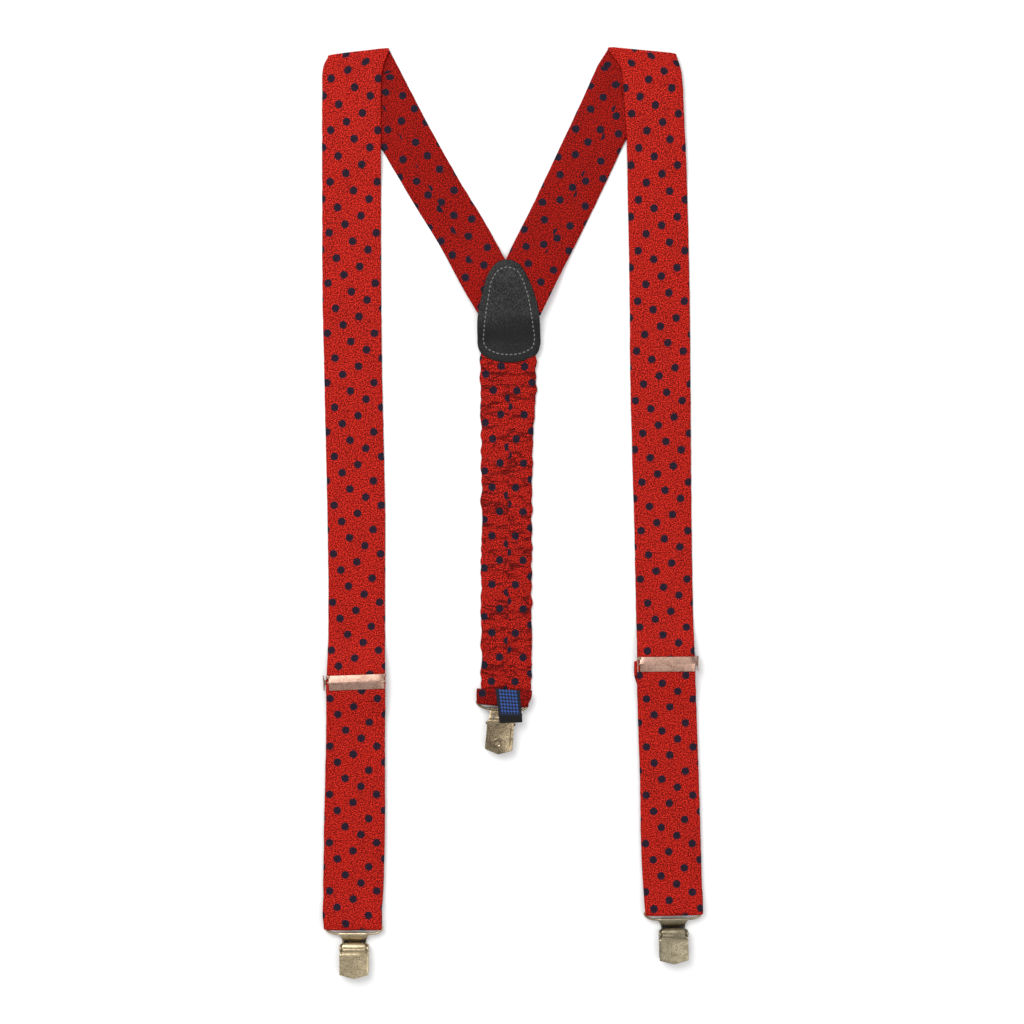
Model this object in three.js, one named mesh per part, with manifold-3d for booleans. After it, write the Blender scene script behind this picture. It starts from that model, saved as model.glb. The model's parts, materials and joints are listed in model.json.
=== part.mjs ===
// A pair of clip-on suspenders (braces) with a Y-shaped back, lying flat with both fronts folded over.
// Millimetres. +X is to the right, +Y runs up the straps towards the shoulder folds, +Z is up from the
// surface that the suspenders lie on. The origin is under the middle of the whole outline.

import * as THREE from "three";
import { mergeVertices } from "three/addons/utils/BufferGeometryUtils.js";
import Module from "manifold-3d";

// ---------------------------------------------------------------- driving dimensions

const cloth = {
  frontWidth: 34.6,
  leftBackWidth: 30.6,
  rightBackWidth: 33.4,
  backWidth: 30.6,
  wall: 0.25, // the satin sleeve
  core: 0.5, // webbing, or elastic in the back strap
  slack: 0.1, // between the sleeve and its core
  rest: 0.3, // between two layers that lie on each other
};

// Each front hangs from the middle of its strap at the shoulder fold. Lengths run down the strap.
const fronts = {
  left: { foldX: -93.4, foldY: 271.7, tilt: 0, adjusterDrop: 372.7, loopLength: 145.1, adjusterTilt: 2 },
  right: { foldX: 84.9, foldY: 271.1, tilt: 1.23, adjusterDrop: 361.4, loopLength: 147.3, adjusterTilt: 0 },
};

// The yoke is the point where the middles of the three back straps meet, under the leather patch.
const yoke = {
  x: -1.5,
  y: 115.5,
  leftAngle: 30.2,
  rightAngle: 25.75,
  backTilt: -1.0,
  backLength: 228.5, // from the yoke to the back clip's bar
  clipTilt: -3.5, // the hem and the clip against the back strap
  tuck: 2, // how far each shoulder strap runs past the yoke, under the leather
  backTuck: 6,
  flap: 10, // how far the hem folds back over the back strap
};

// The shoulder creases: each strap folds back over itself along this line.
const creases = {
  left: { x: -91.8, y: 272.0, angle: 11.15 },
  right: { x: 78.9, y: 272.2, angle: -10.6 },
};

const leather = {
  thickness: 1.2,
  above: 33.9, // from the yoke to the apex
  below: 26.9, // from the yoke to the lower edge
  halfWidth: 18.5,
  shoulder: 30, // from the apex down to the full width
  stitchInset: 4,
  stitchWidth: 0.8,
  stitchHeight: 0.3,
  step: 8, // length over which the facing steps down to the back strap
  corner: 6, // of its lower corners
};

const adjuster = {
  side: 0.5, // thickness of a side wall
  clearance: 0.35, // between a side wall and the strap
  length: 8.8,
  barLength: 3.2, // along the strap
  bar: 0.8,
  cover: 0.6,
  ridge: 0.7, // rise of the cover's middle line
  coverGap: 0.8, // between the cover's end and a side wall
  tooth: 0.3,
  toothLength: 0.8,
  trunnion: 0.45, // radius of the cover's hinge stubs
  play: 0.12,
  hemSlack: 0.9, // room between the bar and the turn of the hem
  hemLength: 7,
};

const clip = {
  wire: 0.8, // radius of the ring's wire
  barHeight: 2.5, // from the base plate's underside to the ring's bar
  ringDrop: 3.9, // from the ring's bar to its lower side
  frontRing: 35.3,
  backRing: 31.4,
  sheet: 0.8,
  neckTop: 17.5,
  neckBottom: 14.5,
  neckLength: 4.2,
  width: 17.2,
  pivotDrop: 13.0, // from the ring's bar to the pivot
  pivotHeight: 3.9,
  pin: 0.75,
  play: 0.1,
  barrel: 1.7,
  ear: 1.0, // thickness of an ear
  earRadius: 1.9,
  earGap: 0.4,
  baseLength: 28.4, // from the ring's bar to the free edge
  leverLength: 28.7, // from the ring's bar to the lever's corners
  leverTip: 2.1, // how far its point stands past the corners
  pad: 1.0,
  jaw: 0.7,
  knuckle: 1.6, // width of a jaw knuckle
  teeth: 9,
};

const label = { width: 14.5, length: 21.0, thickness: 0.4, overlap: 8.0, tilt: 10.5, shift: 2.5 };

// Where the straps rise and fall. Each length is measured along its strap.
const runs = {
  trim: 10, // how far a front is drawn past the fold before the crease cuts it
  raised: 66, // from the fold, to where a front stops lying on the strap behind it
  landed: 84, // from the fold, to where it has come down
  grip: 1.5, // how far a front stays level past each end of the adjuster
  frontRamp: 22, // down from the adjuster on each side, and up to the ring's bar
  ringHold: 4, // from the top of that ramp to the ring's bar
  ringGap: 0.3, // from a front's lower end to the middle of the ring's bar
  returnRise: 8, // from the ring's bar to where a return run lies flat
  shoulderRamp: 25,
  shoulderLength: 220, // of a shoulder strap before the crease cuts it
  backHold: 2, // from the leather's lower edge to where the back strap starts down
  backLanded: 14, // from that edge to where it has come down
  backRise: 26, // from the back clip's bar to where it starts up again
  backRaised: 6, // from that bar to where it has reached the bar's underside
};

// ---------------------------------------------------------------- heights that follow from them

const strap = 2 * (cloth.wall + cloth.slack) + cloth.core;
const turnRadius = clip.wire + 0.2; // inner radius of a strap's turn round a ring's bar
const floorLine = strap / 2;
const upperLine = floorLine + strap + cloth.rest; // a strap that lies on another strap
const barBottom = strap + cloth.rest;
const hemLine = barBottom + adjuster.bar + cloth.rest + strap / 2;
const grippedLine = hemLine + strap + cloth.rest; // the front run where it passes through the adjuster
const coverBottom = grippedLine + strap / 2 + cloth.rest;
const leverBottom = clip.pivotHeight + clip.barrel - 2 * clip.play - clip.sheet / 2;
const clipHeight = leverBottom + clip.sheet;
const backBarHeight = clipHeight - clip.barHeight; // the back clip lies on its lever
const seam = 0.2; // between two layers under the leather
const backYokeLine = leather.thickness + seam + strap / 2;
const leftYokeLine = backYokeLine + strap + seam;
const rightYokeLine = leftYokeLine + strap + seam;

// ---------------------------------------------------------------- tools

const wasm = await Module();
wasm.setup();

const X = new THREE.Vector3(1, 0, 0);
const Y = new THREE.Vector3(0, 1, 0);
const Z = new THREE.Vector3(0, 0, 1);
const SIDE_ON = new THREE.Matrix4().makeBasis(Y, Z, X); // stands a (y, z) outline up across X
const radians = THREE.MathUtils.degToRad;

/** A manifold solid of a closed geometry. */
function solid(geometry) {
  const bare = new THREE.BufferGeometry();
  bare.setAttribute("position", geometry.getAttribute("position"));
  if (geometry.index) bare.setIndex(geometry.index);
  const merged = mergeVertices(bare, 1e-4);
  return new wasm.Manifold(
    new wasm.Mesh({
      numProp: 3,
      vertProperties: merged.attributes.position.array,
      triVerts: new Uint32Array(merged.index.array),
    }),
  );
}

/** The geometry of a manifold solid. */
function geometryOf(body) {
  const mesh = body.getMesh();
  const geometry = new THREE.BufferGeometry();
  geometry.setAttribute("position", new THREE.BufferAttribute(Float32Array.from(mesh.vertProperties), 3));
  geometry.setIndex(new THREE.BufferAttribute(Uint32Array.from(mesh.triVerts), 1));
  geometry.computeVertexNormals();
  return geometry;
}

/** All of the solids as one. */
function join(bodies) {
  return bodies.reduce((sum, body) => sum.add(body));
}

/** A box between two corners. */
function box(low, high) {
  const size = high.map((value, axis) => value - low[axis]);
  const geometry = new THREE.BoxGeometry(...size);
  geometry.translate(...low.map((value, axis) => value + size[axis] / 2));
  return solid(geometry);
}

/** A round bar along X, between two places on it. */
function barAlongX(radius, from, to, y, z, sides = 12) {
  const geometry = new THREE.CylinderGeometry(radius, radius, to - from, sides);
  geometry.rotateZ(Math.PI / 2);
  geometry.translate((from + to) / 2, y, z);
  return solid(geometry);
}

/** A round bar along Y. */
function barAlongY(radius, from, to, x, z, sides = 12) {
  const geometry = new THREE.CylinderGeometry(radius, radius, to - from, sides);
  geometry.translate(x, (from + to) / 2, z);
  return solid(geometry);
}

/** A closed (y, z) outline carried across X, between two places. */
function across(outline, from, to) {
  const shape = new THREE.Shape(outline.map(([y, z]) => new THREE.Vector2(y, z)));
  const geometry = new THREE.ExtrudeGeometry(shape, { depth: to - from, bevelEnabled: false });
  geometry.translate(0, 0, from);
  geometry.applyMatrix4(SIDE_ON);
  return solid(geometry);
}

/** A closed plan outline carried up from one height to another. */
function upright(shape, from, to, curveSegments = 10) {
  const geometry = new THREE.ExtrudeGeometry(shape, { depth: to - from, bevelEnabled: false, curveSegments });
  geometry.translate(0, 0, from);
  return solid(geometry);
}

/** The outline of a band of even thickness along a (y, z) route. */
function bandOutline(route, thickness) {
  const points = route.map(([y, z]) => new THREE.Vector2(y, z));
  const offset = (side) =>
    points.map((point, i) => {
      const before = points[Math.max(i - 1, 0)];
      const after = points[Math.min(i + 1, points.length - 1)];
      const into = point.clone().sub(before).normalize();
      const out = after.clone().sub(point).normalize();
      const along = (i === 0 ? out : i === points.length - 1 ? into : into.clone().add(out)).normalize();
      const mitre = i === 0 || i === points.length - 1 ? 1 : along.dot(into);
      const normal = new THREE.Vector2(-along.y, along.x);
      return point.clone().addScaledVector(normal, (side * thickness) / 2 / mitre);
    });
  return [...offset(1), ...offset(-1).reverse()].map((point) => [point.x, point.y]);
}

/** The route made longer at both ends, in the direction in which it ends. */
function lengthened(route, extra) {
  const grow = (end, next) => {
    const tip = new THREE.Vector2(...end);
    const out = tip.clone().sub(new THREE.Vector2(...next));
    return tip.addScaledVector(out.normalize(), extra).toArray();
  };
  const last = route.length - 1;
  return [grow(route[0], route[1]), ...route.slice(1, last), grow(route[last], route[last - 1])];
}

/** A half turn of a route, from below its centre, out to +Y (1) or -Y (-1), to above it, or back down. */
function halfTurn(y, z, radius, side, rising, steps = 6) {
  const points = [];
  for (let i = 0; i <= steps; i++) {
    const angle = -Math.PI / 2 + (Math.PI * i) / steps;
    points.push([y + side * radius * Math.cos(angle), z + radius * Math.sin(angle)]);
  }
  return rising ? points : points.reverse();
}

/** The fabric sleeve along a route: a flat tube, open at both ends. */
function sleeve(route, width) {
  const outer = across(bandOutline(route, strap), -width / 2, width / 2);
  const bore = strap - 2 * cloth.wall;
  const half = width / 2 - cloth.wall;
  return outer.subtract(across(bandOutline(lengthened(route, 1), bore), -half, half));
}

/** The flat core that fills a sleeve. */
function core(route, width) {
  const half = width / 2 - cloth.wall - cloth.slack;
  return across(bandOutline(route, cloth.core), -half, half);
}

// ---------------------------------------------------------------- materials

const finishes = {
  satin: { color: 0xc4201c, roughness: 0.5, metalness: 0 },
  webbing: { color: 0xd9d4c8, roughness: 0.9, metalness: 0 },
  elastic: { color: 0xe6e2d8, roughness: 0.8, metalness: 0 },
  leather: { color: 0x25272b, roughness: 0.55, metalness: 0 },
  thread: { color: 0x3a3c40, roughness: 0.8, metalness: 0 },
  woven: { color: 0x1b2133, roughness: 0.7, metalness: 0 },
  nickel: { color: 0xb9a98c, roughness: 0.25, metalness: 1 },
  plastic: { color: 0x1c1c1e, roughness: 0.6, metalness: 0 },
};

const part = new THREE.Group();

/** Adds a named sub-part to a group, with a material of its own. */
function add(group, name, body, finish) {
  const mesh = new THREE.Mesh(geometryOf(body), new THREE.MeshStandardMaterial(finishes[finish]));
  mesh.name = name;
  group.add(mesh);
}

/** A group of the part, standing at a place and turned about +Z. */
function placed(parent, x, y, degrees) {
  const group = new THREE.Group();
  group.position.set(x, y, 0);
  group.rotation.z = radians(degrees);
  parent.add(group);
  return group;
}

/** A strap's body, drawn in its group, cut off along a line of the part's plan, and a margin short of it. */
function cutAt(body, line, group, margin) {
  const reach = 1000;
  const tall = 100;
  const keep = new THREE.BoxGeometry(reach, reach, tall);
  keep.translate(0, -reach / 2 - margin, 0);
  keep.rotateZ(radians(line.angle));
  keep.translate(line.x - group.position.x, line.y - group.position.y, 0);
  keep.rotateZ(-group.rotation.z);
  return body.intersect(solid(keep));
}

/** Where a strap's two edges reach a crease, as distances along the crease. */
function edgesAtCrease(crease, x, y, degrees, width) {
  const lean = radians(degrees);
  const line = new THREE.Vector2(Math.cos(radians(crease.angle)), Math.sin(radians(crease.angle)));
  const along = new THREE.Vector2(Math.sin(lean), -Math.cos(lean));
  const normal = new THREE.Vector2(Math.cos(lean), Math.sin(lean));
  const offset = new THREE.Vector2(x - crease.x, y - crease.y);
  const cross = (a, b) => a.x * b.y - a.y * b.x;
  return [-width / 2, width / 2].map((side) => {
    const start = offset.clone().addScaledVector(normal, side);
    return cross(start, along) / cross(line, along);
  });
}

// ---------------------------------------------------------------- clips

/** The wire ring, neck, base plate and ears, in one piece, with the ring's bar along X at y = 0. */
function clipFrame(ringWidth) {
  const { wire, barHeight, ringDrop, sheet, pivotDrop, pivotHeight, earRadius, ear } = clip;
  const side = ringWidth / 2 - wire;
  const ring = [
    barAlongX(wire, -side, side, 0, barHeight, 10),
    barAlongX(wire, -side, side, -ringDrop, barHeight, 10),
    ...[-side, side].map((x) => barAlongY(wire, -ringDrop, 0, x, barHeight, 10)),
  ];
  for (const x of [-side, side]) {
    for (const y of [0, -ringDrop]) {
      const corner = new THREE.SphereGeometry(wire, 10, 6);
      corner.translate(x, y, barHeight);
      ring.push(solid(corner));
    }
  }
  const neckEnd = -ringDrop - clip.neckLength;
  const neckRoute = [
    [-ringDrop, barHeight],
    [-ringDrop - 1.5, barHeight],
    [neckEnd, sheet / 2],
    [neckEnd - 1.5, sheet / 2],
  ];
  const neckPlan = new THREE.Shape([
    new THREE.Vector2(-clip.neckTop / 2, -ringDrop + wire),
    new THREE.Vector2(-clip.neckBottom / 2, neckEnd - 2),
    new THREE.Vector2(clip.neckBottom / 2, neckEnd - 2),
    new THREE.Vector2(clip.neckTop / 2, -ringDrop + wire),
  ]);
  const neck = across(bandOutline(neckRoute, sheet), -ringWidth / 2, ringWidth / 2).intersect(
    upright(neckPlan, -1, barHeight + 2),
  );
  const half = clip.width / 2;
  const base = box([-half, -clip.baseLength, 0], [half, neckEnd - 1, sheet]);
  const ears = [-half, half - ear].flatMap((x) => [
    barAlongX(earRadius, x, x + ear, -pivotDrop, pivotHeight, 16),
    box([x, -pivotDrop - earRadius, 0], [x + ear, -pivotDrop + earRadius, pivotHeight]),
  ]);
  const hole = barAlongX(clip.pin + clip.play, -half - 1, half + 1, -pivotDrop, pivotHeight, 16);
  return join([...ring, neck, base, ...ears]).subtract(hole);
}

/** The plastic pad that the jaw presses against. */
function gripPad() {
  const half = clip.width / 2 - clip.ear - clip.earGap;
  return box(
    [-half, -clip.baseLength + 0.8, clip.sheet],
    [half, -clip.pivotDrop - clip.barrel - 1.5, clip.sheet + clip.pad],
  );
}

/** The lever: a barrel on the pin and a plate that ends in a shallow point. */
function clipLever() {
  const { pivotDrop, pivotHeight, barrel, sheet, leverLength } = clip;
  const half = clip.width / 2;
  const barrelHalf = half - clip.ear - clip.earGap - clip.knuckle - clip.earGap / 2;
  const shoulderY = -pivotDrop - clip.earRadius - 0.3;
  const plan = new THREE.Shape([
    new THREE.Vector2(-half, shoulderY),
    new THREE.Vector2(-half, -leverLength + 1),
    new THREE.Vector2(-half + 1, -leverLength),
    new THREE.Vector2(0, -leverLength - clip.leverTip),
    new THREE.Vector2(half - 1, -leverLength),
    new THREE.Vector2(half, -leverLength + 1),
    new THREE.Vector2(half, shoulderY),
    new THREE.Vector2(barrelHalf, shoulderY),
    new THREE.Vector2(barrelHalf, -pivotDrop),
    new THREE.Vector2(-barrelHalf, -pivotDrop),
    new THREE.Vector2(-barrelHalf, shoulderY),
  ]);
  const outer = barAlongX(barrel, -barrelHalf, barrelHalf, -pivotDrop, pivotHeight, 20);
  const hole = barAlongX(clip.pin + clip.play, -half, half, -pivotDrop, pivotHeight, 16);
  return join([outer, upright(plan, leverBottom, leverBottom + sheet)]).subtract(hole);
}

/** The toothed jaw: a plate with two knuckles on the pin. */
function clipJaw() {
  const { pivotDrop, pivotHeight, barrel, jaw, knuckle } = clip;
  const half = clip.width / 2 - clip.ear - clip.earGap;
  const plateTop = pivotHeight - 0.3;
  const plateStart = -pivotDrop - barrel - 0.5;
  const plateEnd = -clip.baseLength + 2;
  const toothTip = clip.sheet + clip.pad + cloth.rest;
  const pieces = [box([-half, plateEnd, plateTop - jaw], [half, plateStart, plateTop])];
  for (const x of [-half, half - knuckle]) {
    pieces.push(barAlongX(barrel - 0.2, x, x + knuckle, -pivotDrop, pivotHeight, 16));
    pieces.push(box([x, plateStart - 0.5, plateTop - jaw], [x + knuckle, -pivotDrop, plateTop]));
  }
  const pitch = (2 * half) / clip.teeth;
  for (let i = 0; i < clip.teeth; i++) {
    const x = -half + (i + 0.5) * pitch;
    const tooth = new THREE.Shape([
      new THREE.Vector2(x - pitch * 0.45, plateTop - jaw + 0.1),
      new THREE.Vector2(x, toothTip),
      new THREE.Vector2(x + pitch * 0.45, plateTop - jaw + 0.1),
    ]);
    const wedge = new THREE.ExtrudeGeometry(tooth, { depth: jaw, bevelEnabled: false });
    wedge.rotateX(Math.PI / 2);
    wedge.translate(0, plateEnd + jaw, 0);
    pieces.push(solid(wedge));
  }
  const hole = barAlongX(clip.pin + clip.play, -half - 1, half + 1, -pivotDrop, pivotHeight, 16);
  return join(pieces).subtract(hole);
}

/** The pin that the lever and the jaw turn on. */
function clipPin() {
  const half = clip.width / 2 + 0.3;
  return barAlongX(clip.pin, -half, half, -clip.pivotDrop, clip.pivotHeight, 16);
}

/** One whole clip in a group whose y = 0 is the ring's bar. A flipped clip lies on its lever. */
function addClip(group, prefix, ringWidth, flipped) {
  const stand = new THREE.Group();
  if (flipped) {
    stand.rotation.y = Math.PI;
    stand.position.z = clipHeight;
  }
  group.add(stand);
  add(stand, `${prefix}_clip_frame`, clipFrame(ringWidth), "nickel");
  add(stand, `${prefix}_clip_pad`, gripPad(), "plastic");
  add(stand, `${prefix}_clip_jaw`, clipJaw(), "nickel");
  add(stand, `${prefix}_clip_lever`, clipLever(), "nickel");
  add(stand, `${prefix}_clip_pin`, clipPin(), "nickel");
}

// ---------------------------------------------------------------- adjusters

const adjusterInner = cloth.frontWidth / 2 + adjuster.clearance;
const trunnionY = adjuster.length / 2 - adjuster.trunnion - 0.4;
const trunnionZ = coverBottom + adjuster.cover / 2 + 0.1;

/** Two side walls and the bar between them. */
function adjusterFrame() {
  const half = adjuster.length / 2;
  const outer = adjusterInner + adjuster.side;
  const ear = adjuster.trunnion + adjuster.play + 0.5;
  const walls = [-outer, adjusterInner].flatMap((x) => [
    box([x, -half, barBottom], [x + adjuster.side, half, coverBottom]),
    barAlongX(ear, x, x + adjuster.side, trunnionY, trunnionZ, 16),
  ]);
  const barHalf = adjuster.barLength / 2;
  const bar = box([-outer, -barHalf, barBottom], [outer, barHalf, barBottom + adjuster.bar]);
  const hole = barAlongX(adjuster.trunnion + adjuster.play, -outer - 1, outer + 1, trunnionY, trunnionZ, 12);
  return join([...walls, bar]).subtract(hole);
}

/** The flip cover: a ridged plate with a toothed lower edge, on two stubs in the side walls. */
function adjusterCover() {
  const half = adjuster.length / 2;
  const reach = adjusterInner + adjuster.side - adjuster.coverGap;
  const top = coverBottom + adjuster.cover;
  const profile = [
    [-half, coverBottom],
    [half, coverBottom],
    [half, top - 0.1],
    [0, top + adjuster.ridge],
    [-half, top - 0.1],
  ];
  const edge = box(
    [-reach, -half, coverBottom - adjuster.tooth / 2],
    [reach, -half + adjuster.toothLength, coverBottom + 0.1],
  );
  const stubs = barAlongX(
    adjuster.trunnion,
    -adjusterInner - adjuster.side,
    adjusterInner + adjuster.side,
    trunnionY,
    trunnionZ,
    12,
  );
  return join([across(profile, -reach, reach), edge, stubs]);
}

// ---------------------------------------------------------------- fronts

/** The shoulder fold: the half-round nose that joins a front to the strap behind it. */
function addFold(side, backAngle, backWidth) {
  const crease = creases[side];
  const front = fronts[side];
  const spans = [
    ...edgesAtCrease(crease, front.foldX, front.foldY, front.tilt, cloth.frontWidth),
    ...edgesAtCrease(crease, yoke.x, yoke.y, backAngle, backWidth),
  ];
  const centre = (floorLine + upperLine) / 2;
  const radius = (upperLine - floorLine) / 2;
  const nose = bandOutline(halfTurn(0, centre, radius, 1, true, 8), strap);
  const group = placed(part, crease.x, crease.y, crease.angle);
  add(group, `${side}_shoulder_fold`, across(nose, Math.min(...spans), Math.max(...spans)), "satin");
}

/** The front run, from the fold, over the strap behind, through the adjuster and down to the ring. */
function frontRoute(front) {
  const adjusterY = -front.adjusterDrop;
  const barY = adjusterY - front.loopLength;
  const hold = adjuster.length / 2 + runs.grip;
  const ringLine = clip.barHeight + turnRadius + strap / 2;
  return [
    [runs.trim, upperLine],
    [-runs.raised, upperLine],
    [-runs.landed, floorLine],
    [adjusterY + hold + runs.frontRamp, floorLine],
    [adjusterY + hold, grippedLine],
    [adjusterY - hold, grippedLine],
    [adjusterY - hold - runs.frontRamp, upperLine],
    [barY + runs.frontRamp, upperLine],
    [barY + runs.ringHold, ringLine],
    [barY + runs.ringGap, ringLine],
  ];
}

/** The return run, round the ring's bar, under the front run and round the adjuster's bar. */
function returnRoute(front) {
  const adjusterY = -front.adjusterDrop;
  const barY = adjusterY - front.loopLength;
  const turn = adjuster.barLength / 2 + adjuster.hemSlack;
  return [
    ...halfTurn(barY, clip.barHeight, turnRadius + strap / 2, -1, false, 8),
    [barY + runs.returnRise, floorLine],
    ...halfTurn(adjusterY + turn, (floorLine + hemLine) / 2, (hemLine - floorLine) / 2, 1, true, 8),
    [adjusterY - adjuster.hemLength, hemLine],
  ];
}

/** One front: the strap's two runs, the adjuster and the clip. */
function addFront(side) {
  const front = fronts[side];
  const group = placed(part, front.foldX, front.foldY, front.tilt);
  const trimmed = (body) => cutAt(body, creases[side], group, cloth.rest);
  const down = frontRoute(front);
  add(group, `${side}_front_cover`, trimmed(sleeve(down, cloth.frontWidth)), "satin");
  add(group, `${side}_front_webbing`, trimmed(core(down, cloth.frontWidth)), "webbing");
  const back = returnRoute(front);
  const returnWidth = clip.frontRing - 4 * clip.wire - 2 * cloth.rest;
  add(group, `${side}_return_cover`, sleeve(back, returnWidth), "satin");
  add(group, `${side}_return_webbing`, core(back, returnWidth), "webbing");
  const buckle = placed(group, 0, -front.adjusterDrop, front.adjusterTilt);
  add(buckle, `${side}_adjuster_frame`, adjusterFrame(), "nickel");
  add(buckle, `${side}_adjuster_cover`, adjusterCover(), "nickel");
  const hanger = placed(group, 0, -front.adjusterDrop - front.loopLength, 0);
  addClip(hanger, side, clip.frontRing, false);
}

// ---------------------------------------------------------------- back

/** A shoulder strap behind: from under the leather, down to the surface and up to the fold. */
function addShoulderStrap(side, angle, width, yokeLine) {
  const group = placed(part, yoke.x, yoke.y, angle);
  const level = leather.above;
  const route = [
    [-yoke.tuck, yokeLine],
    [level, yokeLine],
    [level + runs.shoulderRamp, floorLine],
    [runs.shoulderLength, floorLine],
  ];
  const trimmed = (body) => cutAt(body, creases[side], group, cloth.rest);
  add(group, `${side}_shoulder_cover`, trimmed(sleeve(route, width)), "satin");
  add(group, `${side}_shoulder_webbing`, trimmed(core(route, width)), "webbing");
}

/** The plan outline of the leather, set in by a margin. */
function patchPlan(inset) {
  const half = leather.halfWidth - inset;
  const top = leather.above - inset;
  const bottom = -leather.below + inset;
  const shoulderY = leather.above - leather.shoulder;
  const { corner } = leather;
  const side = (sign, shape) =>
    shape.bezierCurveTo(sign * half * 0.4, top, sign * half * 0.7, top - 10, sign * half, shoulderY);
  const shape = new THREE.Shape();
  shape.moveTo(0, top);
  side(-1, shape);
  shape.lineTo(-half, bottom + corner);
  shape.quadraticCurveTo(-half, bottom + 1, 0, bottom);
  shape.quadraticCurveTo(half, bottom + 1, half, bottom + corner);
  shape.lineTo(half, shoulderY);
  shape.bezierCurveTo(half * 0.7, top - 10, half * 0.4, top, 0, top);
  return shape;
}

/** A band of leather over the crossed straps, which steps down to the single strap below them. */
function overPatch(from, to) {
  const under = rightYokeLine + strap / 2 + seam;
  const low = backYokeLine + strap / 2 + seam;
  const reach = (angle, width) =>
    yoke.tuck * Math.cos(radians(angle)) + (width / 2) * Math.sin(radians(angle));
  const lowest = Math.max(
    reach(yoke.leftAngle, cloth.leftBackWidth),
    reach(yoke.rightAngle, cloth.rightBackWidth),
  );
  const stepTop = -lowest - 1;
  const step = leather.step;
  const far = leather.above + leather.below;
  const route = [
    [far, under],
    [stepTop, under],
    [stepTop - step, low],
    [-far, low],
  ];
  const raised = (height) => route.map(([y, z]) => [y, z + height]);
  return across([...raised(from), ...raised(to).reverse()], -leather.halfWidth - 1, leather.halfWidth + 1);
}

/** The leather patch, its stitching and the three straps that meet in it. */
function addYoke() {
  addShoulderStrap("left", yoke.leftAngle, cloth.leftBackWidth, leftYokeLine);
  addShoulderStrap("right", -yoke.rightAngle, cloth.rightBackWidth, rightYokeLine);
  const group = placed(part, yoke.x, yoke.y, 0);
  const tall = 20;
  const outline = (inset) => upright(patchPlan(inset), -1, tall);
  add(group, "yoke_backing", upright(patchPlan(0), 0, leather.thickness), "leather");
  add(group, "yoke_facing", overPatch(0, leather.thickness).intersect(outline(0)), "leather");
  const row = outline(leather.stitchInset).subtract(outline(leather.stitchInset + leather.stitchWidth));
  const stitched = overPatch(leather.thickness, leather.thickness + leather.stitchHeight).intersect(row);
  add(group, "yoke_stitching", stitched, "thread");
}

/** The back strap: a gathered sleeve over elastic, its hem, the label and the back clip. */
function addBackStrap() {
  const group = placed(part, yoke.x, yoke.y, yoke.backTilt);
  const barY = -yoke.backLength;
  const hemWidth = clip.backRing - 4 * clip.wire - 2 * cloth.rest;
  const lean = (hemWidth / 2) * Math.abs(Math.sin(radians(yoke.clipTilt)));
  const underBar = backBarHeight - turnRadius - strap / 2;
  const route = [
    [yoke.backTuck, backYokeLine],
    [-leather.below - runs.backHold, backYokeLine],
    [-leather.below - runs.backLanded, floorLine],
    [barY + runs.backRise, floorLine],
    [barY + runs.backRaised, underBar],
    [barY + lean + cloth.rest, underBar],
  ];
  add(group, "back_cover", sleeve(route, cloth.backWidth), "satin");
  add(group, "back_elastic", core(route, cloth.backWidth), "elastic");
  const hanger = placed(group, 0, barY, yoke.clipTilt);
  const turn = halfTurn(0, backBarHeight, turnRadius + strap / 2, -1, true, 8);
  const flapLine = backBarHeight + turnRadius + strap / 2;
  const hem = bandOutline([...turn, [yoke.flap, flapLine]], strap);
  add(hanger, "back_hem", across(hem, -hemWidth / 2, hemWidth / 2), "satin");
  const tag = placed(hanger, label.shift, label.overlap, label.tilt);
  const tagBottom = Math.max(flapLine + strap / 2, clipHeight) + cloth.rest;
  const half = label.width / 2;
  const tagBody = box([-half, -label.length, tagBottom], [half, 0, tagBottom + label.thickness]);
  add(tag, "back_label", tagBody, "woven");
  addClip(hanger, "back", clip.backRing, true);
}

// ---------------------------------------------------------------- assembly

addYoke();
addBackStrap();
for (const side of ["left", "right"]) addFront(side);
addFold("left", yoke.leftAngle, cloth.leftBackWidth);
addFold("right", -yoke.rightAngle, cloth.rightBackWidth);

// The origin stays under the middle of the outline, whatever the sizes.
part.updateMatrixWorld(true);
const middle = new THREE.Box3().setFromObject(part, true).getCenter(new THREE.Vector3());
part.position.set(-middle.x, -middle.y, 0);

export default part;
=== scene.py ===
"""Clip-on suspenders with a Y-shaped back, laid flat with both fronts folded over.

Lengths are in millimetres and become metres where a mesh is made. A strap is followed from its clip, over
the shoulder, to the yoke: its outer face shows on the fronts, and its inner face, with the sleeve's seam,
at the back. Lattice places are in columns and repeats of the printed dots.
"""
import json
import logging
import math
import random
from dataclasses import dataclass, field
from enum import Enum
from typing import Callable, Sequence

import bmesh
import bpy
import numpy as np
from mathutils import Matrix, Vector, noise


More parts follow.
